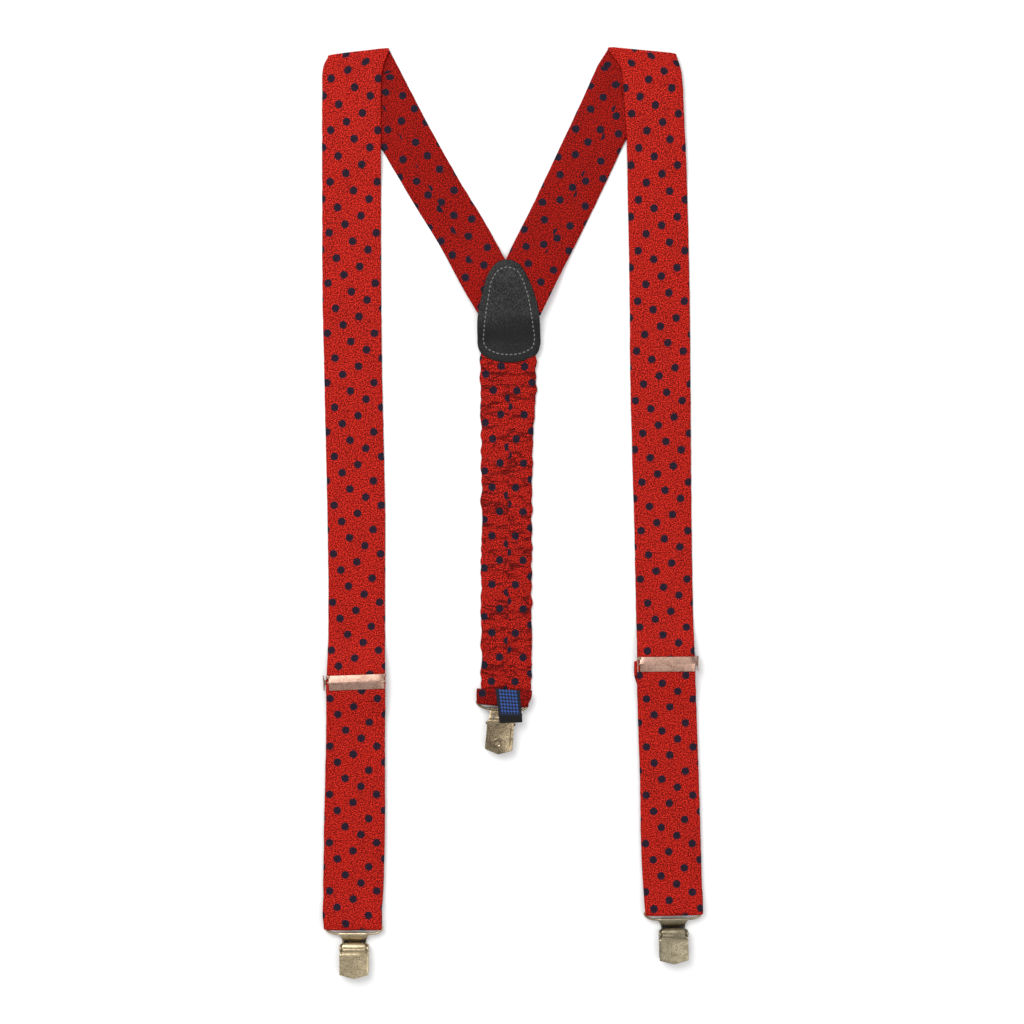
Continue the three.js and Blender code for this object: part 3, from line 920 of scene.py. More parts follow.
@dataclass
class Gathers:
    """The cross wrinkles of a sleeve that is gathered on elastic."""

    seed: int = 5
    spacing: tuple[float, float] = (6.5, 12.5)
    depth: tuple[float, float] = (0.45, 1.2)
    reach: tuple[float, float] = (-125.0, 120.0)
    lines: list[tuple[float, float, float, float]] = field(default_factory=list)

    def __post_init__(self) -> None:
        """Draws each wrinkle's place, slant, depth and width."""
        draw = random.Random(self.seed)
        place = self.reach[0]
        while place < self.reach[1]:
            place += draw.uniform(*self.spacing)
            slant, depth = draw.uniform(-0.12, 0.12), draw.uniform(*self.depth)
            self.lines.append((place, slant, depth, draw.uniform(0.8, 1.9)))

    def __call__(self, across: float, along: float) -> float:
        """The lift of the cloth: puffs between the wrinkles, which come and go across the strap.

        Args:
            across: the place across the strap.
            along: the place along it.

        Returns:
            The lift, never quite nothing.
        """
        lift = 1.0 + 0.45 * noise.noise(Vector((across / 9, along / 6, 3.1)))
        for place, slant, depth, width in self.lines:
            if abs(along - place) < 9:
                wander = 1.6 * noise.noise(Vector((across / 7, place, 1.7)))
                fade = 0.55 + 0.6 * noise.noise(Vector((across / 8, place, 9.3)))
                offset = (along - place - slant * across - wander) / width
                lift -= depth * max(0.0, fade) * math.exp(-offset * offset)
        return max(lift, 0.05)


@dataclass
class Strap:
    """One stretch of a sleeve over its flat core, as a closed band.

    Stations run from the clip to the yoke, and the outer face is on the side of across x along.
    """

    name: str
    stations: np.ndarray
    outer: Lattice
    inner: tuple[Lattice, Lattice]
    starts: float = 0.0
    thickness: float = 1.24
    seam: float = 0.0
    seam_depth: float = 0.28
    inner_shift: float = 0.0  # added to a place along the outer face, gives it as the inner lattices count it
    lift: Callable[[float, float], float] = still
    lifted: float = 1.0  # +1 lifts the outer face, -1 the inner one
    fray: float = 0.18
    ways: np.ndarray | None = None  # the cloth's direction at each station, where the stations are skewed

    EDGE = 9.0  # how squarely the band's edges are rounded
    OUTER = 18  # cells across the outer face
    SEAM = (-0.11, -0.045, -0.012, 0.0, 0.012, 0.045, 0.11)  # extra lines about the seam, in half widths

    def build(self) -> bpy.types.Object:
        """Makes the band's mesh with its dot lattice.

        Returns:
            The strap.
        """
        rows = self.stations
        left = np.stack([rows[:, 0], rows[:, 1], rows[:, 4]], 1)
        right = np.stack([rows[:, 2], rows[:, 3], rows[:, 4]], 1)
        middle, width = (left + right) / 2, right - left
        half = np.linalg.norm(width, axis=1) / 2
        side = width / (2 * half[:, None])
        along = self.starts + reaches(middle)
        ahead = np.gradient(middle, axis=0)
        normal = np.cross(side, ahead)
        normal /= np.linalg.norm(normal, axis=1)[:, None]
        front = list(np.sin(np.linspace(-math.pi / 2, math.pi / 2, self.OUTER + 1)))
        plain = [a for a in front[1:-1] if min(abs(a - s) for s in self.SEAM) > 0.05]
        back = sorted(plain + list(self.SEAM), reverse=True)
        ring = [(a, 1) for a in front] + [(a, -1) for a in back]
        points = np.zeros((len(rows), len(ring), 3))
        places = np.zeros((len(rows), len(ring)))
        for i in range(len(rows)):
            sway = self._sway(along[i])
            for j, (a, face) in enumerate(ring):
                across = a * half[i] + (sway[0] * (1 - a) + sway[1] * (1 + a)) / 2
                rise = self._profile(a) * self.thickness / 2
                if face == self.lifted or abs(a) == 1:
                    rise += self.lift(across, along[i]) * self._profile(a)
                if face < 0:
                    rise -= self._groove(across)
                points[i, j] = middle[i] + side[i] * across + normal[i] * rise * face
                places[i, j] = across
        skew = np.zeros(len(rows)) if self.ways is None else (side * self.ways).sum(axis=1)
        return self._mesh(points, places, along, skew)

    def _sway(self, along: float) -> tuple[float, float]:
        """How far each edge wavers at a place along the strap."""
        left = noise.noise(Vector((along / 5.5, 2.3, len(self.name))))
        right = noise.noise(Vector((along / 5.5, 7.9, len(self.name))))
        return left * self.fray, right * self.fray

    def _profile(self, a: float) -> float:
        """The band's half thickness at a fraction of its half width, against that at its middle."""
        return math.sqrt(max(0.0, 1 - abs(a) ** self.EDGE))

    def _groove(self, across: float) -> float:
        """The depth of the seam's groove."""
        away = (across - self.seam) / 0.45
        return self.seam_depth * math.exp(-away * away)

    def _mesh(
        self, points: np.ndarray, places: np.ndarray, along: np.ndarray, skew: np.ndarray
    ) -> bpy.types.Object:
        """Joins the rings, closes both ends and lays the lattice on every corner.

        Args:
            points: the mesh's points, station by station.
            places: how far across the band each point lies.
            along: how far along the cloth each station's middle lies.
            skew: how far along the cloth each station runs for each millimetre across.

        Returns:
            The band.
        """
        count, around = places.shape
        cells = []
        for i in range(count - 1):
            for j in range(around):
                k = (j + 1) % around
                cells.append((i * around + j, i * around + k, (i + 1) * around + k, (i + 1) * around + j))
        cells.append(tuple(range(around))[::-1])
        cells.append(tuple(range((count - 1) * around, count * around)))
        obj = mesh_piece(self.name, points.reshape(-1, 3), cells)
        mesh = obj.data
        rims = [set(cap.edge_keys) for cap in (mesh.polygons[-1], mesh.polygons[-2])]
        for edge in mesh.edges:
            edge.use_edge_sharp = any(edge.key in rim for rim in rims)
        vertex = np.zeros(len(mesh.loops), int)
        mesh.loops.foreach_get("vertex_index", vertex)
        row, spot = vertex // around, vertex % around
        cell = np.repeat(np.arange(len(mesh.polygons)), [p.loop_total for p in mesh.polygons])
        cell_side = np.arange(len(mesh.polygons)) % around
        across, far = places[row, spot], along[row] + places[row, spot] * skew[row]
        column = cell % around
        outside = column < self.OUTER
        middle = places[row, :][np.arange(len(row)), np.minimum(column, around - 1)]
        following = places[row, (column + 1) % around]
        leftward = (middle + following) / 2 < self.seam
        u_out, v_out = self.outer.at(across, far)
        u_left, v_left = self.inner[0].at(across, far + self.inner_shift)
        u_right, v_right = self.inner[1].at(across, far + self.inner_shift)
        u = np.where(outside, u_out, np.where(leftward, u_left, u_right))
        v = np.where(outside, v_out, np.where(leftward, v_left, v_right))
        mesh.polygons.foreach_set("material_index", np.where(cell_side >= self.OUTER, 1, 0))
        uv = mesh.uv_layers.new(name=LATTICE)
        uv.data.foreach_set("uv", np.stack([u, v], 1).astype(np.float32).ravel())
        bm = bmesh.new()
        bm.from_mesh(mesh)
        if bm.calc_volume(signed=True) < 0:
            bmesh.ops.reverse_faces(bm, faces=bm.faces)
            bm.to_mesh(mesh)
        bm.free()
        return obj

    def flat_size(self, fullness: float = 1.0) -> tuple[float, float]:
        """The band before it was folded or gathered.

        Args:
            fullness: how much longer it was than the stretch that it covers.

        Returns:
            Its width and its length, in metres.
        """
        rows = self.stations
        length = np.linalg.norm(np.diff(middles(rows), axis=0), axis=1).sum()
        width = np.hypot(rows[:, 2] - rows[:, 0], rows[:, 3] - rows[:, 1]).mean()
        return float(width * MM), float(length * fullness * MM)


class Side(Enum):
    """The two fronts."""

    LEFT = "left"
    RIGHT = "right"


@dataclass
class Front:
    """One front with its shoulder: run to the clip, return to the adjuster, fold and diagonal."""

    side: Side
    edges: tuple[tuple[float, float, float], ...]  # y, then x of the left and right edge, from the clip up
    heights: tuple[tuple[float, float], ...]  # y, then the height of the strap's middle
    bar: tuple[Point, Point]  # the clip's bar from the strap's left edge to its right
    bar_height: float
    returns: tuple[tuple[float, float, float], ...]  # as edges, from the adjuster down
    crease: tuple[Point, Point]  # the fold's axis
    fold_top: tuple[tuple[float, ...], ...]  # stations from the front run's end to the crease
    fold_low: tuple[tuple[float, ...], ...]  # stations from the crease to the diagonal's start
    diagonal: tuple[tuple[float, ...], ...]  # stations from the fold to the yoke
    dots: Lattice
    seam_dots: tuple[Lattice, Lattice]
    seam: float = 0.0
    diagonal_start: float = 0.0  # where the diagonal starts, as its lattices count it
    turn_radius: float = 1.6
    fold_height: float = 2.6
    hem_height: float = 3.2

    def height(self, y: float) -> float:
        """The strap's mid height.

        Args:
            y: the place up the front.

        Returns:
            Its height there, smooth between the given ones.
        """
        ys, zs = zip(*self.heights)
        i = min(max(np.searchsorted(ys, y) - 1, 0), len(ys) - 2)
        t = min(max((y - ys[i]) / (ys[i + 1] - ys[i]), 0.0), 1.0)
        return zs[i] + (zs[i + 1] - zs[i]) * t * t * (3 - 2 * t)

    def build_run(self) -> Strap:
        """The stretch that shows: from under the clip's bar, round it and up to the fold."""
        (left, right), top = self.bar, self.edges[-1][0]
        low = self.bar_height - self.turn_radius
        under = [(left[0], left[1] + back, right[0], right[1] + back, low) for back in (9.0, 4.5)]
        bend = turn(left, right, self.bar_height, self.turn_radius, -1, -90, 90)
        rows = [(xl, y, xr, y, 0.0) for y, xl, xr in self.edges]
        rows = [(*bend[-1][:4], 0.0)] + rows
        run = smooth(rows, 2.0)
        run[:, 4] = [self.height((row[1] + row[3]) / 2) for row in run]
        run[0, 4] = bend[-1][4]
        stations = np.vstack([smooth(under, 2.0), bend, run[1:]])
        strap = Strap(f"{self.side.value}_front_strap", stations, self.dots, (self.dots, self.dots))
        strap.lift = rumpled(0.22, 14.0, 4.0 + len(self.side.value))
        middle = (stations[:, 1] + stations[:, 3]) / 2
        gone = np.hypot(np.diff(middle), np.diff(stations[:, 4])).sum()
        strap.starts = top - gone
        return strap

    def build_return(self) -> Strap:
        """The stretch behind: from the hem at the adjuster's bar down to the clip's bar."""
        y, xl, xr = self.returns[0]
        hem = [(xl, y - back, xr, y - back, self.hem_height) for back in (7.0, 3.5)]
        bend = turn((xl, y), (xr, y), self.hem_height - 1.3, 1.3, 1, 90, -90)
        low = [(left, at, right, at, FLOOR - 0.05) for at, left, right in self.returns[1:]]
        end = (self.bar[0][0], self.bar[0][1] + 9.3, self.bar[1][0], self.bar[1][1] + 9.3)
        low.append((*end, self.bar_height - self.turn_radius))
        stations = np.vstack([smooth(hem, 2.0), bend, smooth(low, 3.0)])
        strap = Strap(f"{self.side.value}_return_strap", stations, self.dots, (self.dots, self.dots))
        strap.thickness = 1.1
        strap.starts = -600.0
        return strap

    def build_fold(self) -> Strap:
        """The turn over the shoulder's crease."""
        y, xl, xr = self.edges[-1]
        radius = (self.fold_height - FLOOR) / 2
        bend = turn(*self.crease, FLOOR + radius, radius, 1, 90, -90)
        top = [(xl, y, xr, y, self.fold_height)] + [(*row, self.fold_height) for row in self.fold_top]
        top.append(tuple(bend[0]))
        low_run = smooth([tuple(bend[-1])] + [(*row, FLOOR) for row in self.fold_low], 1.5)
        stations = np.vstack([smooth(top, 1.5)[:-1], bend, low_run[1:]])
        strap = Strap(f"{self.side.value}_shoulder_turn", stations, self.dots, self.seam_dots)
        strap.starts = y
        strap.seam = self.seam
        strap.inner_shift = self.diagonal_start - y - strap.flat_size()[1] / MM
        strap.fray = 0.0
        yoke_end = np.array(self.diagonal[-1]) - np.array((*self.fold_low[-1], 0.0))
        down = Vector((yoke_end[0] + yoke_end[2], yoke_end[1] + yoke_end[3], 0)).normalized()
        turned = len(stations) - len(low_run) + 1
        strap.ways = np.array([(0.0, 1.0, 0.0)] * turned + [tuple(down)] * (len(stations) - turned))
        strap.lift = rumpled(0.22, 14.0, 4.0 + len(self.side.value))
        return strap

    def build_diagonal(self) -> Strap:
        """The stretch from the shoulder's fold down to the yoke, inner face up."""
        rows = [(*self.fold_low[-1], FLOOR)] + list(self.diagonal)
        strap = Strap(f"{self.side.value}_shoulder_strap", smooth(rows, 2.0), self.dots, self.seam_dots)
        strap.starts = self.diagonal_start
        strap.seam = self.seam
        strap.lifted = -1.0
        strap.lift = rumpled(0.45, 11.0, 7.0 + len(self.side.value))
        return strap

    def dress(self, sheen_satin: bpy.types.Material, shaded_satin: bpy.types.Material) -> None:
        """Builds the four stretches, finishes them and hangs the diagonal on the frame's back body; the
        others stay where they are built.

        Args:
            sheen_satin: the satin of the faces that show at the front, a lighter copy whose extra light is
                painted sheen.
            shaded_satin: the satin of the faces that show at the back, a darker copy whose tone is painted
                shade.
        """
        side = self.side.value
        run, back = self.build_run(), self.build_return()
        fold, diagonal = self.build_fold(), self.build_diagonal()
        pieces = {part.name: part.build() for part in (run, back, fold, diagonal)}
        for piece in pieces.values():
            dress(piece, "satin", sheen_satin, shaded_satin)
        top = self.edges[-1][0]
        x = (self.bar[0][0] + self.bar[1][0]) / 2
        upper, lower = top - 6, self.bar[0][1] + 14
        axis = Vector(hinge(f"{side}_strap_length")["axis"])
        start = Vector((x, upper, 0)) * MM
        end = start + axis * (upper - lower) * MM
        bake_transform(pieces[run.name])
        first, last = self.bar[0][1] + 12, self.returns[0][0] - 12
        start = Vector((x, first, 0)) * MM
        end = start - axis * (last - first) * MM
        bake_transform(pieces[back.name])
        x, y = self.crease[0]
        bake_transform(pieces[fold.name])
        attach(pieces[diagonal.name], "back")
        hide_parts(f"{side}_front_cover", f"{side}_front_webbing")
        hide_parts(f"{side}_return_cover", f"{side}_return_webbing")
        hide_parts(f"{side}_shoulder_fold")
        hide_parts(f"{side}_shoulder_cover", f"{side}_shoulder_webbing")
        run.flat_size()
        back.flat_size()
        fold.flat_size()
        diagonal.flat_size()
        log.info("%s front: %d stretches, crease at y %.0f", side, len(pieces), top)


@dataclass
class Back:
    """The gathered back strap, its hem over the clip's bar, and the label."""

    edges: tuple[tuple[float, float, float], ...] = (
        (-111.5, -18.8, 10.2),
        (-97.2, -19.0, 10.9),
        (-57.0, -18.9, 11.1),
        (-17.1, -19.0, 11.2),
        (36.3, -18.9, 11.8),
        (54.1, -19.0, 12.4),
        (66.0, -19.6, 13.4),
        (88.0, -19.6, 13.6),
        (108.0, -19.0, 13.0),
    )
    rise: tuple[float, float] = (74.0, 96.0)  # between these the strap climbs to the yoke's backing
    heights: tuple[float, float] = (0.75, 2.0)
    hem: tuple[tuple[float, ...], ...] = (
        (-21.6, -105.0, 11.4, -106.2, 4.7), (-21.7, -109.0, 10.8, -110.6, 4.85)
    )
    bar: tuple[Point, Point] = ((-21.6, -112.1), (9.3, -114.5))
    bar_height: float = 3.3
    label: tuple[tuple[float, ...], ...] = (
        (-10.6, -105.0, 4.1, -106.0, 5.75),
        (-10.0, -109.5, 4.4, -110.4, 5.9),
        (-9.2, -115.0, 4.8, -115.8, 6.25),
        (-7.9, -125.0, 5.4, -124.6, 6.55),
    )
    label_tuck: float = 5.0
    left_dots: Lattice = Lattice((-0.108,), (-0.59, 8.68), 1 / 4.57)
    right_dots: Lattice = Lattice((-0.158,), (0.235, 8.68), 1 / 4.57)

    def build_strap(self) -> Strap:
        """The gathered sleeve."""
        rows = [(xl, y, xr, y, 0.0) for y, xl, xr in self.edges]
        stations = smooth(rows, 0.9)
        low, high = self.heights
        for row in stations:
            t = min(max((row[1] - self.rise[0]) / (self.rise[1] - self.rise[0]), 0.0), 1.0)
            row[4] = low + (high - low) * t * t * (3 - 2 * t)
        # The inner face is up here: the stations are taken from the yoke down, and along runs the other way.
        strap = Strap("back_strap", stations[::-1], self.left_dots, (self.left_dots, self.right_dots))
        strap.starts = 0.0
        strap.seam = 1.0
        strap.lifted = -1.0
        strap.lift = Gathers()
        strap.fray = 1.1
        return strap

    def build_hem(self) -> Strap:
        """The sleeve's end, turned over the bar and sewn down."""
        bend = turn(*self.bar, self.bar_height, 1.55, -1, 90, -90)
        top = list(self.hem) + [tuple(bend[0])]
        low = [tuple(bend[-1]), (-20.9, -107.5, 10.9, -109.0, 2.1)]
        stations = np.vstack([smooth(top, 1.2), bend[1:], smooth(low, 1.5)[1:]])
        strap = Strap("back_hem_fold", stations, self.left_dots, (self.right_dots, self.left_dots))
        strap.thickness = 1.15
        strap.lifted = -1.0
        strap.lift = rumpled(0.5, 5.0, 12.0)
        strap.fray = 0.5
        return strap

    def build_label(self) -> bpy.types.Object:
        """The folded ribbon of the label."""
        rows = smooth(self.label, 0.8)
        last = rows[-1]
        bend = turn((last[0], last[1]), (last[2], last[3]), last[4] - 0.24, 0.24, -1, 90, -90)
        tuck = bend[-1].copy()
        tuck[[1, 3]] += self.label_tuck
        tuck[4] -= 0.05
        rows = np.vstack([rows, bend[1:], smooth([tuple(bend[-1]), tuple(tuck)], 1.0)[1:]])
        lattice = Lattice((0.0,), (0.0, 250.0), 1.0, 0)
        strap = Strap("back_label_ribbon", rows, lattice, (lattice, lattice))
        strap.thickness = 0.34
        strap.seam_depth = 0.0
        strap.fray = 0.1
        obj = strap.build()
        obj.data.uv_layers[0].name = RIBBON
        self.label_size = strap.flat_size()
        return obj

    def dress(self, satin: bpy.types.Material, dark: bpy.types.Material, ribbon: bpy.types.Material) -> None:
        """Builds the strap, hem and label, finishes them and hangs the hem on the frame's back end; the strap
        and label stay where they are built.

        Args:
            satin: the satin of the gathered strap.
            dark: the satin of the hem.
            ribbon: the label's cloth.
        """
        strap, hem = self.build_strap(), self.build_hem()
        band, end, label = strap.build(), hem.build(), self.build_label()
        dress(band, "satin", satin, satin)
        dress(end, "satin", dark, dark)
        dress(label, "woven_label", ribbon, ribbon)
        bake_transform(band)
        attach(end, "back_end")
        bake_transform(label)
        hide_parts("back_cover", "back_elastic")
        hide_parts("back_hem")
        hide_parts("back_label")
        strap.flat_size(1.15)
        hem.flat_size()
        log.info("back: gathered strap, hem and label")


# ---------------------------------------------------------------- yoke


@dataclass
class Yoke:
    """The leather patch that joins the three straps: facing, backing and one row of stitching."""

    outline: tuple[Point, ...] = (
        (-3.0, 149.0), (-8.9, 147.6), (-13.1, 143.2), (-15.6, 138.6), (-17.3, 132.4), (-19.6, 123.5),
        (-21.0, 115.0), (-21.1, 104.0), (-20.6, 97.0), (-18.6, 93.4), (-14.6, 90.8), (-9.6, 89.0),
        (-3.0, 88.3), (4.0, 88.8), (10.0, 90.8), (14.4, 93.9), (16.0, 98.4), (16.1, 106.0),
        (15.7, 114.0), (14.8, 120.6), (12.7, 128.9), (10.1, 135.6), (7.2, 141.4), (3.6, 146.4),
    )
    centre: Point = (-2.6, 116.0)
    high: float = 6.7
    low: float = 4.3
    dip: tuple[float, float] = (113.5, 101.5)
    wall: float = 1.3
    inset: float = 4.6
    stitch: float = 1.9
    gap: float = 0.75
    rings: tuple[float, ...] = (0.1, 0.25, 0.4, 0.55, 0.68, 0.76, 0.82, 0.87, 0.91, 0.945, 0.97, 0.988, 1.0)

    def rim(self, count: int) -> np.ndarray:
        """A smooth curve through the outline.

        Args:
            count: how many points are wanted.

        Returns:
            The points, evenly spaced.
        """
        known = np.array(self.outline + self.outline[:3])
        reach = reaches(known)
        first, last = reach[1], reach[len(self.outline) + 1]
        return through(known, reach, np.linspace(first, last, count, endpoint=False))

    def top(self, x: float, y: float) -> float:
        """The facing's top away from its edge: it steps down where only the back strap is under it.

        Args:
            x: the place across.
            y: the place up.

        Returns:
            Its height there.
        """
        t = min(max((self.dip[0] - y + 0.12 * x) / (self.dip[0] - self.dip[1]), 0.0), 1.0)
        step = t * t * (3 - 2 * t)
        lumps = 0.22 * noise.noise(Vector((x / 9, y / 9, 2.0)))
        ridge = 0.35 * math.exp(-(((y - self.dip[0] - 2) / 3) ** 2))
        return self.high + (self.low - self.high) * step + lumps + ridge

    def patch(self, name: str, facing: bool) -> bpy.types.Object:
        """One leather patch.

        Args:
            name: the piece's name.
            facing: True for the shaped facing, False for the flat backing.

        Returns:
            The patch, closed, with rounded edges.
        """
        rim = self.rim(120)
        centre = np.array(self.centre)
        points = [(*centre, self.top(*centre) if facing else self.wall)]
        for part in self.rings:
            for edge in rim:
                x, y = centre + (edge - centre) * part
                inside = (1 - part) * np.linalg.norm(edge - centre)
                z = self.top(x, y) - 0.5 * math.exp(-inside / 2.2) if facing else self.wall
                z -= 0.16 * math.exp(-(((inside - self.inset) / 0.7) ** 2))
                z -= 0.3 * math.exp(-inside / 0.25)
                points.append((x, y, z))
        for part, drop in ((1.004, 0.55), (1.0, 0.85), (0.988, 1.0), (0.9, 1.0)):
            for edge in rim:
                x, y = centre + (edge - centre) * part
                z = self.top(x, y) - 0.5 if facing else self.wall
                points.append((x, y, z - self.wall * drop))
        points.append((*centre, (self.top(*centre) - self.wall - 0.4) if facing else 0.0))
        count, faces = len(rim), []
        levels = len(self.rings) + 4
        for j in range(count):
            k = (j + 1) % count
            faces.append((0, 1 + j, 1 + k))
            for i in range(levels - 1):
                a, b = 1 + i * count, 1 + (i + 1) * count
                faces.append((a + j, b + j, b + k, a + k))
            last = 1 + (levels - 1) * count
            faces.append((last + j, len(points) - 1, last + k))
        return outward(mesh_piece(name, np.array(points), faces))

    def seam(self) -> bpy.types.Object:
        """The row of stitches: one is modelled, the others are copies of it."""
        rim = self.rim(600)
        centre = np.array(self.centre)
        line = []
        for edge in rim:
            reach = np.linalg.norm(edge - centre)
            x, y = centre + (edge - centre) * (1 - self.inset / reach)
            line.append((x, y, self.top(x, y) - 0.16))
        line = np.array(line + line[:1])
        reach = reaches(line)
        count = round(reach[-1] / (self.stitch + self.gap))
        deselect()
        bpy.ops.mesh.primitive_uv_sphere_add(segments=10, ring_count=6, radius=MM)
        first = bpy.context.object
        first.scale = (0.36, self.stitch / 2, 0.24)
        settle(first)
        bpy.ops.object.shade_smooth()
        parts = []
        for i in range(count):
            at = (i + 0.5) * reach[-1] / count
            here = [np.interp(at, reach, line[:, c]) for c in range(3)]
            ahead = [np.interp(at + 0.3, reach, line[:, c]) for c in range(3)]
            way = Vector(ahead) - Vector(here)
            copy = add("stitch", first.data.copy())
            turned = way.to_track_quat("Y", "Z").to_matrix().to_4x4()
            copy.data.transform(Matrix.Translation(Vector(here) * MM) @ turned)
            parts.append(copy)
        bpy.data.objects.remove(first)
        return join("yoke_stitches", parts)

    def dress(self, leather: bpy.types.Material, thread: bpy.types.Material) -> None:
        """Builds the patch and its stitching and fixes them to the back.

        Args:
            leather: the finish of both patches.
            thread: the finish of the stitches.
        """
        facing, backing = self.patch("yoke_front_patch", True), self.patch("yoke_rear_patch", False)
        stitches = self.seam()
        for piece, slot, material, node in (
            (facing, "leather", leather, "yoke_facing"),
            (backing, "leather", leather, "yoke_backing"),
            (stitches, "thread", thread, "yoke_stitching"),
        ):
            dress(piece, slot, material)
            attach(piece, "back")
            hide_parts(node)
        log.info("yoke: two patches and a row of stitches")


# ---------------------------------------------------------------- hardware


@dataclass
class Clip:
    """A clip in its own frame: the ring's bar lies along X at y 0, and the jaw end is down in y."""

    body: str
    ring: float = 16.7
    wire: float = 0.7
    bar: float = 2.5
    ring_low: float = -4.5
    neck_top: float = 8.7
    neck_low: float = 7.1
    neck_end: float = -9.6
    half: float = 8.6
    wall: float = 0.8
    pivot: Point = (-13.0, 3.9)  # y and z
    barrel: float = 1.7
    ear: float = 1.0
    base_end: float = -28.3
    lever_end: float = -28.4
    lever_tip: float = 2.3
    lever_top: float = 5.8
    windows: tuple[tuple[float, float, float], ...] = ((-4.9, -9.6, 1.5), (4.9, -9.6, 1.5))  # x, y, radius
    shadowed_windows: bool = True  # whether a thin dark sheet under the windows paints the shadow in them

    def place(self) -> Matrix:
        """Where the clip's frame lies, from its joint."""
        joint = hinge(f"{self.body}_swing")
        x_axis = -Vector(joint["axis"])
        at = Vector(joint["pos_m"]) - Vector((0, 0, self.bar * MM))
        return Matrix.Translation(at) @ Matrix.Rotation(math.atan2(x_axis.y, x_axis.x), 4, "Z")

    def build_ring(self) -> bpy.types.Object:
        """The bent wire ring."""
        side, low, z = self.ring, self.ring_low, self.bar
        corners = [
            (0, 0), (side - 2.0, 0), (side, 0), (side, -1.2), (side - 0.6, -2.4), (side - 2.6, -3.7),
            (side - 6.0, low), (0, low), (6.0 - side, low), (2.6 - side, -3.7), (0.6 - side, -2.4),
            (-side, -1.2), (-side, 0), (2.0 - side, 0),
        ]
        return wire([(x, y, z) for x, y in corners], self.wire, closed=True)

    def build_neck(self) -> list[bpy.types.Object]:
        """The stamped neck that grips the ring and drops to the base plate, with its two arched windows and,
        if asked for, a thin dark sheet under them as painted shadow.
        """
        low, end, top, floor = self.ring_low, self.neck_end, self.bar, self.wall
        rows = [
            (low + 1.0, self.neck_top - 0.3, top + 0.2),
            (low + 0.7, self.neck_top, top + 0.75),
            (low, self.neck_top, top + 1.05),
            (low - 0.8, self.neck_top - 0.1, top + 0.75),
            (low - 2.0, self.neck_top - 0.8, top + 0.2),
            (low - 3.4, self.neck_low + 0.1, top - 0.6),
            (end + 0.6, self.neck_low, floor + 0.35),
            (end - 0.6, self.neck_low, floor),
            (end - 2.0, self.half, floor),
        ]
        neck = bent_sheet(rows, 12, 0.0, 0.6)
        for x, y, radius in self.windows:
            deselect()
            bpy.ops.mesh.primitive_cylinder_add(vertices=24, radius=radius * MM, depth=8 * MM)
            cutter = bpy.context.object
            cutter.location = Vector((x, y, 1.0)) * MM
            settle(cutter)
            modify(neck, "BOOLEAN", operation="DIFFERENCE", solver="EXACT", object=cutter)
            bpy.data.objects.remove(cutter)
        if not self.shadowed_windows:
            return [neck]
        # A thin dark sheet in the pad's rubber finish lies under the windows as painted shadow.
        shadow_sheet = plate([(-6.2, -12.0), (-6.2, -8.0), (6.2, -8.0), (6.2, -12.0)], 0.02, 0.12, 0.0)
        shadow_sheet.data.materials.append(None)
        shadow_sheet.data.materials.append(bpy.data.materials["grip_rubber"])
        shadow_sheet.data.polygons.foreach_set("material_index", [1] * len(shadow_sheet.data.polygons))
        return [neck, shadow_sheet]

    def build_base(self) -> list[bpy.types.Object]:
        """The base plate with its turned-up sides."""
        half, end = self.half, self.base_end
        outline = [
            (-half, self.neck_end - 1.2), (-half, end + 1.0), (-half + 1.0, end),
            (half - 1.0, end), (half, end + 1.0), (half, self.neck_end - 1.2),
        ]
        return [plate(outline, 0.0, self.wall, 0.2)]

    def build_ears(self) -> list[bpy.types.Object]:
        """The two ears that carry the pin, with the pin's riveted heads."""
        y, z = self.pivot
        ears = []
        for x in (-self.half, self.half - self.ear):
            arc = [(1.9 * math.cos(a), 1.9 * math.sin(a)) for a in np.linspace(0, math.pi, 13)]
            outline = [(y + c, z + s) for c, s in arc] + [(y - 2.2, 0.2), (y + 2.2, 0.2)]
            ear = plate(outline, 0.0, self.ear, 0.22)
            ears.append(stand(ear, x))
        return ears

    def build_lever(self) -> bpy.types.Object:
        """The lever: a rolled barrel, then a crowned plate with turned-down sides and a pointed tip."""
        y, z = self.pivot
        inner = self.half - self.ear - 0.4
        top, shoulder, end = self.lever_top, y - 2.35, self.lever_end
        rows = [
            (y + 3.5, inner - 2.6, z - 1.1), (y + 3.35, inner - 1.5, z - 0.3),
            (y + 2.9, inner - 0.7, z + 0.5),
            (y + 2.1, inner - 0.25, z + 1.15), (y + 1.1, inner - 0.05, z + 1.6), (y, inner, z + 1.8),
            (y - 0.9, inner, z + 1.7), (y - 1.6, inner, z + 1.25), (shoulder + 0.15, inner, z + 0.95),
            (shoulder - 0.15, inner + 0.3, z + 1.1), (shoulder - 0.45, self.half, top - 0.3),
        ]
        for t in (0.15, 0.35, 0.55, 0.75, 0.92, 1.0):
            rows.append((shoulder + (end - shoulder) * t, self.half, top - 0.12 * t))
        sheet = bent_sheet(rows, 14, 0.28, 0.6)
        for vertex in sheet.data.vertices:
            x, at = vertex.co.x / MM, vertex.co.y / MM
            if at < shoulder - 4:
                part = (shoulder - 4 - at) / (shoulder - 4 - end)
                vertex.co.y -= self.lever_tip * (1 - abs(x) / self.half) * part**2 * MM
        flanges = []
        for x in (-self.half, self.half - 0.55):
            outline = [(shoulder - 0.4, top - 0.7), (shoulder - 1.6, 3.2)]
            outline += [(end + 5.0, 3.4), (end + 0.4, top - 0.9)]
            flange = plate(outline, 0.0, 0.55, 0.12)
            flanges.append(stand(flange, x))
        barrel = rod((-inner, y, z), (inner, y, z), self.barrel)
        return join(f"{self.body}_lever_plate", [sheet, barrel, *flanges])

